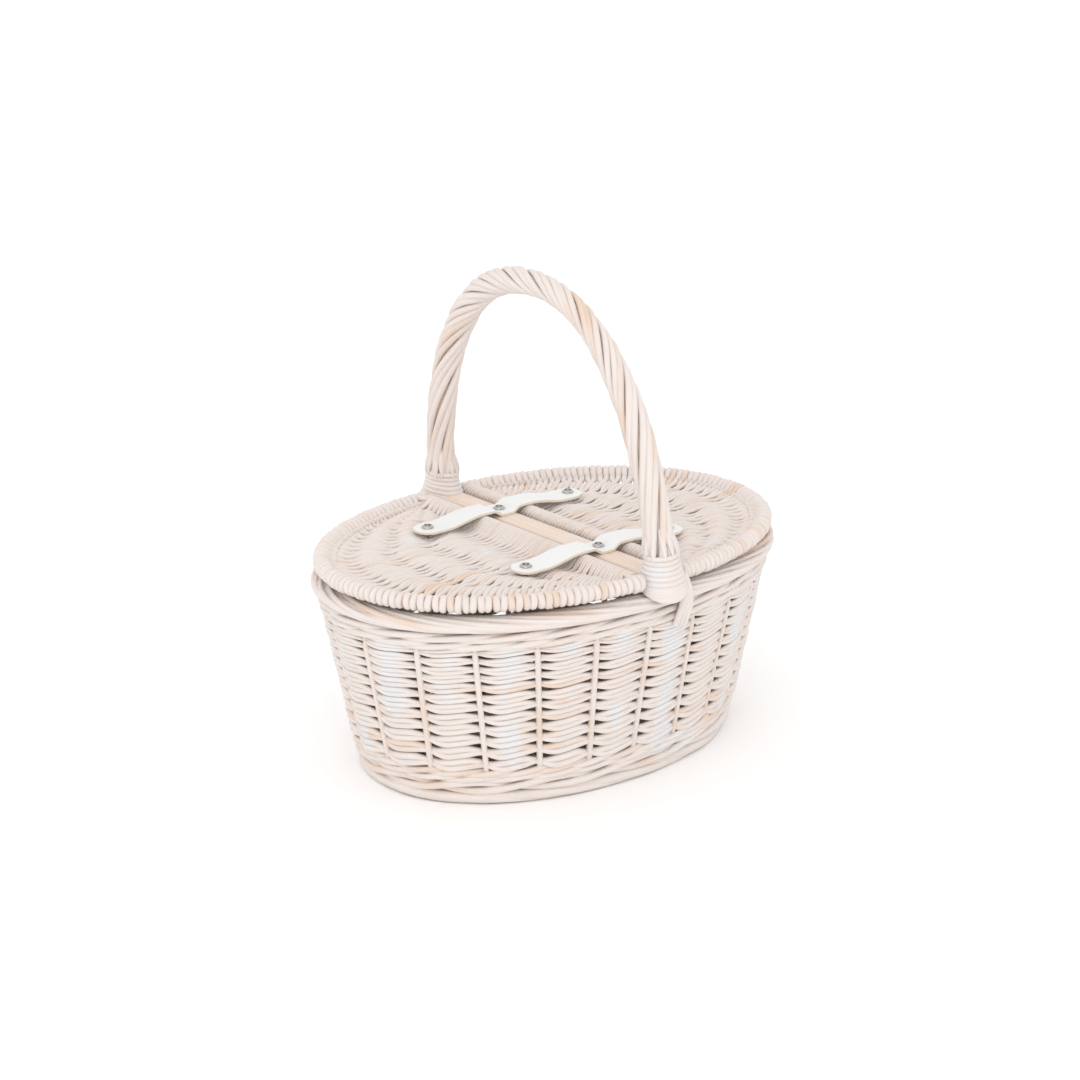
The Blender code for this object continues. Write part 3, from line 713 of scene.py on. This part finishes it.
def weave_base():
    """The floor: rods woven in ovals over and under spokes that run out from a spine of two rods."""
    rng = random.Random(41)
    bundle = Bundle(6)
    middle = (BASE_LOW.z + BASE_HIGH.z) / 2
    half = (BASE_HIGH.x, BASE_HIGH.y)
    spokes, pitch, radius, swing = 36, 5.0 * MM, 2.35 * MM, 1.9 * MM
    samples = spokes * 4
    ring = 0
    inset = radius
    while half[1] - inset > radius:
        points = []
        for k in range(samples):
            share = k / samples
            wave = math.cos(TAU * spokes / 2 * share + math.pi * ring)
            here = oval_point((half[0] - inset, half[1] - inset), ROUND.turn(share))
            points.append(here + Vector((0, 0, middle + swing * wave)))
        bundle.add(points, radius, rng.random(), 0.1, closed=True)
        inset += pitch
        ring += 1
    spine = half[0] - half[1]
    for k in range(spokes):
        turn = ROUND.turn((k + 0.5) / spokes)
        end = oval_point((half[0] - 1 * MM, half[1] - 1 * MM), turn) + Vector((0, 0, middle))
        start = Vector((max(-spine, min(spine, end.x * 0.45)), end.y * 0.03, middle))
        bundle.add([start.lerp(end, step / 6) for step in range(7)], 2.1 * MM, rng.random(), 0.0)
    for y in (-2.2 * MM, 2.2 * MM):
        left_end, right_end = Vector((-spine, y, middle)), Vector((spine, y, middle))
        bundle.add([left_end.lerp(right_end, step / 12) for step in range(13)], 2.4 * MM, rng.random(), 0.0)
    bundle.piece("base_weave", "washed_willow_border", BODY, ["base_mat"], inside_and_recess_shade)


# ---------------------------------------------------------------- the handle
def thinning(share):
    """The rope is drawn thinner, by a fifth at most, a little in front of its top."""
    return 1 - 0.2 * math.exp(-((share - 0.42) / 0.13) ** 2)


def lay_handle():
    """The strands in their long right-hand twist, tighter at the top, over the stout core."""
    sizes = bpy.context.scene.basket_sizes
    rng = random.Random(53)
    bundle = Bundle(10)
    count = 150
    arch = handle_arch(count)
    across = Vector((1, 0, 0))
    radius = ROPE_RADIUS * math.sin(math.pi / sizes.strands) / (1 + math.sin(math.pi / sizes.strands))
    ease = 0.55  # how much of the twist is drawn from the feet to the top
    for strand in range(sizes.strands):
        points, radii = [], []
        size = radius * rng.uniform(0.93, 1.04)
        drift = rng.uniform(-0.18, 0.18)
        for k, point in enumerate(arch):
            share = k / (count - 1)
            along = (arch[min(k + 1, count - 1)] - arch[max(k - 1, 0)]).normalized()
            outward = along.cross(across)
            twist = sizes.turns * (share - ease * math.sin(TAU * share) / TAU)
            turn = TAU * (strand / sizes.strands + twist) + 0.12 * math.sin(9 * share + 5 * drift * 10)
            slim = thinning(share)
            reach = (ROPE_RADIUS - radius + 0.25 * MM * math.sin(14 * share + 40 * drift)) * slim
            points.append(point + (outward * math.cos(turn) - across * math.sin(turn)) * reach)
            radii.append(size * slim * 1.04)
        bundle.add(points, radii, rng.random(), 0.3)
    bundle.add(arch, [CORE_RADIUS * thinning(k / (count - 1)) for k in range(count)], 0.9, 0.0)
    nodes = ["handle_core"] + [f"handle_strand_{k + 1}" for k in range(10)]
    bundle.piece("handle_rope", "washed_willow_handle", BODY, nodes)


def arch_y(climb, height):
    """Where the handle's centre line lies across the basket at a height, on its way up from one foot."""
    return float(np.interp(height, [point.z for point in climb], [point.y for point in climb]))


def bind_handle_feet():
    """Each foot of the handle: rods wound round it, pointed ends over them, and three rods and a skein outside."""
    arch = handle_arch(400)
    winds, per_turn, radius, top, tips = 8, 24, 2.1 * MM, 31 * MM, 11
    for side, sign in (("front", 1), ("back", -1)):
        climb = arch[:60] if sign > 0 else arch[:-61:-1]
        rng = random.Random(61 if sign > 0 else 67)
        bundle = Bundle()
        foot_y, foot_z = HANDLE_FOOT.y * sign, COLLAR_LOW.z
        total = winds * per_turn // 2
        for start in (0.0, 0.5):
            points, radii = [], []
            for k in range(total + 1):
                share = k / total
                turn = TAU * (k / per_turn + start) * sign
                reach = 16.0 * MM - 4.8 * MM * smooth_step(1.1 * share) + 0.3 * MM * math.sin(3 * turn)
                height = radius + (top - 2 * radius) * share + 1.4 * MM * math.sin(turn + 0.6 * sign) * (1 - share)
                points.append(Vector((reach * math.cos(turn),
                                      arch_y(climb, foot_z + height) + reach * math.sin(turn),
                                      foot_z + max(height, radius))))
                radii.append(radius * (1.2 - 0.25 * share))
            bundle.add(points, radii, 0.2 * rng.random(), 0.75)
        for k in range(tips):
            turn = TAU * (k + 0.4 * rng.random()) / tips
            low = top - rng.uniform(3, 9) * MM
            points = [Vector((reach * math.cos(turn) * MM,
                              arch_y(climb, foot_z + (low + rise * MM)) + reach * math.sin(turn) * MM,
                              foot_z + low + rise * MM))
                      for rise, reach in ((22, 6.4), (15, 9.0), (9, 11.0), (4, 12.4), (0, 13.0))]
            bundle.add(points, [w * MM for w in (1.8, 2.3, 2.2, 1.5, 0.3)], 0.3 + 0.6 * rng.random(), 0.2)
        out = -sign
        for spread in (-1, 0, 1):
            points = [Vector(((-15.0 * out + aside * spread) * MM, foot_y + out * (9.5 + tuck) * MM,
                              RIM_LOW.z + height * MM))
                      for height, tuck, aside in ((-16, -7.0, 4.4), (-2, -1.2, 3.6), (9, 1.0, 2.4),
                                                  (17, -0.2, 1.0), (27, -2.0, 0.0))]
            bundle.add(points, [w * MM for w in (2.4, 2.8, 2.7, 2.2, 0.4)], 0.3 + 0.2 * spread, 0.4)
        bundle.piece(f"handle_binding_{side}", "washed_willow_siding", BODY, [f"handle_collar_{side}"])
        wrap_rim(side, sign)


def ribbon(name, rows, thickness, edge_radius, material, butted=False):
    """A strip on the given rows of points across its underside, thickened upwards and rounded at the edge.

    A butted strip keeps its end at x = 0 square, so that it meets its other half without a seam.
    """
    shape = bmesh.new()
    grid = [[shape.verts.new(point) for point in row] for row in rows]
    for a, b in zip(grid, grid[1:]):
        for c in range(len(a) - 1):
            shape.faces.new((a[c], b[c], b[c + 1], a[c + 1]))
    bmesh.ops.recalc_face_normals(shape, faces=shape.faces)
    if sum(face.normal.z * face.calc_area() for face in shape.faces) < 0:
        bmesh.ops.reverse_faces(shape, faces=shape.faces)
    bmesh.ops.solidify(shape, geom=shape.faces, thickness=-thickness)
    bmesh.ops.recalc_face_normals(shape, faces=shape.faces)
    corner = [e for e in shape.edges if e.calc_face_angle(0) > math.radians(50)
              and not (butted and max(abs(v.co.x) for v in e.verts) < 0.01 * MM)]
    bmesh.ops.bevel(shape, geom=corner, offset=edge_radius, offset_type="OFFSET", segments=2, profile=0.5,
                    affect="EDGES", material=-1)
    made = piece_of(mesh_of(shape, name), [material])
    return made


def wrap_rim(side, sign):
    """A flat skein drawn aslant over the rim, round the outer side of the handle's foot."""
    half_turn = Matrix.Rotation(0 if sign > 0 else math.pi, 3, "Z")
    foot = Vector((0, HANDLE_FOOT.y * sign / MM, RIM_HIGH.z / MM))
    steps, reach = 30, 16.8
    first_turn, sweep = 150, 165
    rows = []
    for k in range(steps + 1):
        share = k / steps
        turn = math.radians(first_turn + sweep * share)
        swell = math.sin(math.pi * share ** 1.3)
        around = Vector((math.cos(turn), math.sin(turn), 0))
        middle = around * (reach + 1.0 * swell) + Vector((0, 0, 6.0 - 4.4 * swell ** 0.8))
        across = Vector((0, 0, 1)) * (1.0 + 4.2 * swell) - around * (0.4 + 0.6 * swell)
        rows.append([(half_turn @ (middle + across * c) + foot) * MM for c in (-1, -0.5, 0, 0.5, 1)])
    made = ribbon(f"rim_skein_{side}", rows, 0.8 * MM, 0.25 * MM, "washed_willow_border")
    corners = [corner.co for corner in made.data.vertices]
    places = [c for corner in corners
              for c in (17 * MM * math.atan2(corner.y - HANDLE_FOOT.y * sign, corner.x), corner.z, 0.0)]
    made.data.attributes.new("rod", "FLOAT_VECTOR", "POINT").data.foreach_set("vector", places)
    made.data.attributes.new("tone", "FLOAT", "POINT").data.foreach_set("value", [0.9] * len(corners))
    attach(made, BODY)


# ---------------------------------------------------------------- the lids
# the lids' curved edge as turns and the length run at each, from one end beside the hinge rod to the other
LID_REACH = math.acos(((HINGE_ROD.x - 3 * MM) / LID_HALF[0]) ** (OVAL_POWER / 2))
LID_TURNS = [LID_REACH * (k / 100 - 1) for k in range(201)]
LID_EDGE = [oval_point(LID_HALF, turn) for turn in LID_TURNS]
LID_RUNS = np.concatenate([[0], np.cumsum([(b - a).length for a, b in zip(LID_EDGE, LID_EDGE[1:])])])


def lid_turn(share):
    """Turn of the point a share of the way round a lid's curved edge, from its front corner to its back."""
    return float(np.interp(share * LID_RUNS[-1], LID_RUNS, LID_TURNS))


def fan_path(share, steps):
    """The flat line of one weaver across a lid, from the hinge rod to just inside the curved edge."""
    turn = lid_turn(share)
    end = oval_point(LID_HALF, turn, 2 * LID_EDGE_RADIUS)
    normal = oval_normal(LID_HALF, *oval_point(LID_HALF, turn).xy)
    start = Vector((HINGE_ROD.x + 2 * MM, (2 * share - 1) * (LID_HALF[1] - 14 * MM), 0))
    span = (end - start).length
    pull_out = Vector((1, 0, 0)) * span * 0.35
    pull_in = normal * span * 0.30
    points = []
    for k in range(steps + 1):
        t = k / steps
        a = start.lerp(start + pull_out, t)
        b = (start + pull_out).lerp(end - pull_in, t)
        c = (end - pull_in).lerp(end, t)
        points.append(a.lerp(b, t).lerp(b.lerp(c, t), t))
    return points, normal


def over_hinge_rod(y, pitch, hand):
    """A left weaver's beginning, up from under the hinge rod and over it, as (point, radius, proud)."""
    radius = pitch * 0.262
    turns = [math.radians(225 - 25 * step) for step in range(8)]
    return [(HINGE_ROD + Vector((math.cos(turn), 0, math.sin(turn))) * (HINGE_ROD_RADIUS - radius)
             + Vector((0, y + hand * pitch * 0.25, 0)), radius, 0.3) for turn in turns]


def over_bow(bow, normal, width, hand, rng):
    """A weaver's end, wrapped over the lid's edge and tucked in underneath, as (point, radius, proud)."""
    pitch, across = width.length, width.normalized()
    radius = min(max(pitch * 0.266, 1.25 * MM), 2.9 * MM)
    wrap = LID_EDGE_RADIUS - radius + rng.uniform(-0.3, 0.5) * MM
    widen = rng.uniform(0.95, 1.12)
    made = []
    for step in range(14):
        roll = math.radians(125 - 290 * step / 13)
        spot = bow + normal * wrap * math.cos(roll) + Vector((0, 0, wrap * math.sin(roll)))
        shift = across * hand * pitch * 0.245 * (1 + 0.12 * math.sin(roll)) * widen
        made.append((spot + shift, radius * 1.06, 0.45))
    tail = made[-1][0] - normal * 7 * MM + Vector((0, 0, 1.2 * MM))
    return made + [(tail, radius * 0.8, 0.0)]


def weave_lid(side, seed):
    """One lid: paired weavers fanned from the hinge rod, over and under the ribs, and wrapped over the bow."""
    rng = random.Random(seed)
    pairs, steps, ribs = bpy.context.scene.basket_sizes.lid_pairs, 48, 7
    bundle = Bundle()
    half_turn = Matrix.Rotation(0 if side == "right" else math.pi, 3, "Z")
    edges = [fan_path(k / pairs, steps)[0] for k in range(pairs + 1)]
    for i in range(pairs):
        centre, normal = fan_path((i + 0.5) / pairs, steps)
        widths = [b - a for a, b in zip(edges[i], edges[i + 1])]
        bow = oval_point(LID_HALF, lid_turn((i + 0.5) / pairs), LID_EDGE_RADIUS) + Vector((0, 0, BOW_Z))
        calm = min(1.0, sum((b - a).length for a, b in zip(centre, centre[1:])) / (90 * MM))
        amplitude = 1.3 * MM * calm
        tones = [rng.random(), rng.random()]
        lift = rng.uniform(-0.5, 0.5) * MM
        shy = rng.uniform(-0.8, 0.8)
        grip = rng.uniform(0.5, 1.05)
        for hand, tone in zip((-1, 1), tones):
            run = over_hinge_rod(centre[0].y, widths[0].length, hand) if side == "left" else []
            for k in range(steps + 1):
                if side == "left" and centre[k].x < HINGE_ROD.x + 9 * MM:
                    continue
                t = k / steps
                pitch = widths[k].length
                wave = math.cos(math.pi * (ribs + 1) * t + shy * math.sin(math.pi * t))
                pinch = smooth_step(0.2 - 1.1 * wave) * calm * grip
                flat = centre[k] + widths[k].normalized() * hand * (pitch * (0.25 - 0.165 * pinch))
                level = LID_Z + amplitude * wave + lift * math.sin(math.pi * t)
                radius = min(max(pitch * (0.262 - 0.065 * pinch), 1.2 * MM), 2.8 * MM)
                run.append((Vector((flat.x, flat.y, level)), radius, max(wave, 0.0) * 0.8))
            run += over_bow(bow, normal, widths[-1], hand, rng)
            points, radii, proud = zip(*run)
            bundle.add([half_turn @ point for point in points], radii, tone, proud)
    bundle.piece(f"lid_{side}_weave", "washed_willow_lids", f"lid_{side}", [f"lid_{side}_panel"])

    frame_rods = Bundle()
    bow_points = [half_turn @ (oval_point(LID_HALF, lid_turn(k / 90), LID_EDGE_RADIUS) + Vector((0, 0, BOW_Z)))
                  for k in range(91)]
    frame_rods.add(bow_points, 3.0 * MM, 0.7, 0.0)
    for rib in range(1, ribs + 1):
        t = round(steps * rib / (ribs + 1))
        points = [half_turn @ (edge[t] + Vector((0, 0, LID_Z - 2.2 * MM))) for edge in edges]
        frame_rods.add(points, 1.3 * MM, rng.random(), 0.0)
    frame_rods.piece(f"lid_{side}_bow_and_ribs", "washed_willow_lids", f"lid_{side}", [f"lid_{side}_bow"])


def round_end(run, length):
    """Shrinks a rod's radius over its last 5 mm, so that it ends in a dome."""
    to_end = min(run, length - run)
    return math.sqrt(max(1 - (1 - min(to_end / (5 * MM), 1)) ** 2, 0.02))


def add_hinge_core(bundle, x, radius, tone, steps):
    """A straight rod with domed ends, along a lid's hinge line."""
    shares = [k / steps for k in range(steps + 1)]
    bundle.add([Vector((x, (share - 0.5) * WINDING_LENGTH, HINGE_ROD.z)) for share in shares],
               [radius * round_end(share * WINDING_LENGTH, WINDING_LENGTH) for share in shares], tone, 0.0)


def lay_left_hinge_rod():
    """The left lid's straight edge: a stout rod, hidden by the weavers that begin round it."""
    bundle = Bundle(16)
    add_hinge_core(bundle, -HINGE_ROD.x, 4.2 * MM, 0.5, 60)
    bundle.piece("lid_left_hinge_core", "washed_willow_lids", "lid_left", ["lid_left_hinge_rod"])


def wind_right_hinge_rod(seed):
    """The right lid's straight edge: a stout rod, wound close with thin ones."""
    rng = random.Random(seed)
    bundle = Bundle(6)
    radius = 1.7 * MM
    reach = HINGE_ROD_RADIUS - radius
    add_hinge_core(bundle, HINGE_ROD.x, reach, 0.6, 40)
    starts, per_turn = 5, 14
    turns = WINDING_LENGTH / (starts * 2.25 * radius)
    count = int(turns * per_turn)
    for start in range(starts):
        tone = rng.random()
        points = []
        for k in range(count + 1):
            share = k / count
            turn = TAU * (turns * share + start / starts)
            y = (share - 0.5) * (WINDING_LENGTH - 2 * radius)
            points.append(HINGE_ROD + Vector((reach * math.cos(turn), y, reach * math.sin(turn))))
        bundle.add(points, radius, tone, 0.4)
    bundle.piece("lid_right_hinge_winding", "washed_willow_lids", "lid_right", ["lid_right_hinge_rod"])


# ---------------------------------------------------------------- straps and rivets
def strap_height(distance):
    """Underside of a strap: down on the bar at the middle rivet, over the hinge rod, down onto the weaving."""
    on_bar = BAR_TOP + 0.3 * MM
    crest = HINGE.z - 2.5 * MM
    on_lid = PANEL_HIGH.z + 0.3 * MM
    rise = smooth_step((distance - HINGE.x + 8 * MM) / (8 * MM))
    fall = smooth_step((distance - HINGE_ROD.x - HINGE_ROD_RADIUS / 2) / (34 * MM))
    return on_bar + (crest - on_bar) * rise - (crest - on_lid) * fall


def cut_strap(side, across):
    """Half of a strap, from its middle rivet to its rounded tip on the lid."""
    sign = 1 if side == "right" else -1
    end = STRAP_HIGH.x
    half = (STRAP_HIGH.y - STRAP_LOW.y) / 2
    y_middle = (STRAP_HIGH.y + STRAP_LOW.y) / 2 * across
    stations = 64
    rows = []
    for k in range(stations + 1):
        at = end * k / stations
        past = max(at - (end - half), 0.0)
        wide = math.sqrt(max(half * half - past * past, (half * 0.12) ** 2))
        waist = 1 - 0.06 * math.exp(-((at - 20 * MM) / (12 * MM)) ** 2)
        height = strap_height(at)
        rows.append([Vector((at * sign, y_middle + aside * wide * waist, height - 0.2 * MM * aside ** 2))
                     for aside in (c / 4 - 1 for c in range(9))])
    where = "back" if across > 0 else "front"
    made = ribbon(f"leather_strap_{side}_{where}", rows, STRAP_THICKNESS, 0.5 * MM, "white_cowhide",
                  butted=True)
    # marks the strap's side faces for their painted shade
    edge = [1.0 if abs(v.normal.z) < 0.5 else 0.0 for v in made.data.vertices]
    made.data.attributes.new("edge", "FLOAT", "POINT").data.foreach_set("value", edge)
    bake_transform(made)
    nodes = [f"strap_{side}_{where}"]
    if side == "right":
        nodes.append(f"strap_middle_{where}")
    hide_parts(*nodes)


def spin_rivet(name):
    """A rivet spun from its outline: a grooved cap, a shank and a burred tail on the washer."""
    low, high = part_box(name)
    depth = high.z - low.z
    scale = (high.x - low.x) / 2 / (4.6 * MM)
    outline = [(r * scale * MM, z * MM) for r, z in RIVET_CAP]
    outline += [(1.5 * MM, 1.0 * MM - depth), (2.2 * MM, 1.0 * MM - depth), (1.5 * MM, -depth), (0, -depth)]
    shape = bmesh.new()
    corners = [shape.verts.new((r, 0, z)) for r, z in outline]
    edges = [shape.edges.new(pair) for pair in zip(corners, corners[1:])]
    bmesh.ops.spin(shape, geom=corners + edges, cent=(0, 0, 0), axis=(0, 0, 1), angle=TAU, steps=32,
                   use_merge=True)
    bmesh.ops.remove_doubles(shape, verts=shape.verts, dist=0.01 * MM)
    bmesh.ops.recalc_face_normals(shape, faces=shape.faces)
    bmesh.ops.translate(shape, verts=shape.verts, vec=((low.x + high.x) / 2, (low.y + high.y) / 2, high.z))
    # faces in the cap's groove, 0.5 to 1 mm below its top, take the dark second material: painted shade and
    # reflection
    for face in shape.faces:
        from_middle = face.calc_center_median() - (low + high) / 2
        below_top = depth / 2 - from_middle.z
        face.material_index = int(0.5 * MM < below_top < 1.0 * MM and math.hypot(*from_middle.xy) < 2.45 * MM)
    made = piece_of(mesh_of(shape, name + "_pressed"), ["nickel_plated_steel", "nickel_groove_shade_and_reflection"], sharp=35)
    side = name.split("_")[1]
    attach(made, BODY if side == "middle" else f"lid_{side}")
    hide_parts(name)


def press_rivets():
    """Every rivet, and the finish of its washer."""
    for name, node in frame["nodes"].items():
        if name.startswith("washer_"):
            dress(node, "nickel_plated_steel")
        elif name.startswith("rivet_"):
            spin_rivet(name)


# ---------------------------------------------------------------- the stage
def build_stage():
    """A plain white floor, an even white sky, soft lights from the left and the front, and the camera."""
    scene = bpy.context.scene
    scene.view_settings.view_transform = "Standard"
    world = bpy.data.worlds.new("studio")
    scene.world = world
    world.use_nodes = True
    set_inputs(world.node_tree, world.node_tree.nodes["Background"], Color=(1, 1, 1, 1), Strength=SKY_STRENGTH)

    shape = bmesh.new()
    bmesh.ops.create_circle(shape, cap_ends=True, segments=96, radius=FLOOR_RADIUS)
    mesh = mesh_of(shape, "floor")
    matt, tree, shader = blank_material("matt_white_floor", srgb("FFFFFF"))
    set_inputs(tree, shader, Base_Color=srgb("FFFFFF"), Roughness=0.9)
    mesh.materials.append(matt)
    floor = bpy.data.objects.new("floor", mesh)
    floor.location = (0, 0, -0.2 * MM)
    scene.collection.objects.link(floor)

    for name, place, size, watts in LIGHTS:
        light = bpy.data.lights.new(name, "AREA")
        light.size = size
        light.energy = watts
        lamp = bpy.data.objects.new(name, light)
        lamp.location = place
        lamp.rotation_euler = (Vector((0, 0, 0.15)) - Vector(place)).to_track_quat("-Z", "Y").to_euler()
        scene.collection.objects.link(lamp)

    azimuth, elevation, distance = math.radians(-39.75), math.radians(18.6), 2.0
    back = Vector((math.sin(azimuth) * math.cos(elevation), -math.cos(azimuth) * math.cos(elevation),
                   math.sin(elevation)))
    right = Vector((math.cos(azimuth), math.sin(azimuth), 0))
    target = Vector((0, 0, 0.158)) - right * 5.75 * MM
    camera_data = bpy.data.cameras.new("camera")
    camera_data.lens = 88.7
    camera_data.sensor_width = 36.0
    camera = bpy.data.objects.new("camera", camera_data)
    camera.location = target + back * distance
    camera.rotation_euler = (-back).to_track_quat("-Z", "Y").to_euler()
    scene.collection.objects.link(camera)
    scene.camera = camera


# ---------------------------------------------------------------- operators
class BASKET_OT_wall(bpy.types.Operator):
    """Weave the basket's wall, border, foot and floor"""

    bl_idname = "basket.wall"
    bl_label = "Weave Wall"

    def execute(self, context):
        set_stakes()
        weave_siding()
        weave_bottom_wale()
        weave_top_wale()
        lay_rim_border()
        lay_foot_border()
        weave_base()
        return {"FINISHED"}


class BASKET_OT_handle(bpy.types.Operator):
    """Lay the handle's strands and bind its feet"""

    bl_idname = "basket.handle"
    bl_label = "Lay Handle"

    def execute(self, context):
        lay_handle()
        bind_handle_feet()
        dress(frame["nodes"]["centre_bar"], "planed_willow_slat")
        return {"FINISHED"}


class BASKET_OT_lids(bpy.types.Operator):
    """Weave both lids and lay their hinge rods"""

    bl_idname = "basket.lids"
    bl_label = "Weave Lids"

    def execute(self, context):
        weave_lid("left", 71)
        lay_left_hinge_rod()
        weave_lid("right", 83)
        wind_right_hinge_rod(84)
        return {"FINISHED"}


class BASKET_OT_straps(bpy.types.Operator):
    """Cut the leather straps and finish the rivets"""

    bl_idname = "basket.straps"
    bl_label = "Cut Straps"

    def execute(self, context):
        for side in ("left", "right"):
            for across in (-1, 1):
                cut_strap(side, across)
        press_rivets()
        return {"FINISHED"}


class BASKET_OT_stage(bpy.types.Operator):
    """Set the floor, the light and the camera"""

    bl_idname = "basket.stage"
    bl_label = "Set Stage"

    def execute(self, context):
        build_stage()
        return {"FINISHED"}


class BASKET_PT_panel(bpy.types.Panel):
    """Lists the basket's operators and sizes"""

    bl_idname = "BASKET_PT_panel"
    bl_label = "Wicker Picnic Basket"
    bl_space_type = "VIEW_3D"
    bl_region_type = "UI"
    bl_category = "Basket"

    def draw(self, context):
        for name in OPERATORS:
            self.layout.operator("basket." + name)
        for group in (context.scene.basket_sizes, context.scene.basket_colours):
            for key in group.__annotations__:
                self.layout.prop(group, key)


OPERATORS = ("wall", "handle", "lids", "straps", "stage")
CLASSES = (BasketSizes, BasketColours, BASKET_OT_wall, BASKET_OT_handle, BASKET_OT_lids, BASKET_OT_straps,
           BASKET_OT_stage, BASKET_PT_panel)


def register():
    for cls in CLASSES:
        bpy.utils.register_class(cls)
    bpy.types.Scene.basket_sizes = PointerProperty(type=BasketSizes)
    bpy.types.Scene.basket_colours = PointerProperty(type=BasketColours)


def unregister():
    del bpy.types.Scene.basket_colours
    del bpy.types.Scene.basket_sizes
    for cls in reversed(CLASSES):
        bpy.utils.unregister_class(cls)


def main():
    register()
    for name in OPERATORS:
        getattr(bpy.ops.basket, name)()


if __name__ == "__main__":
    main()
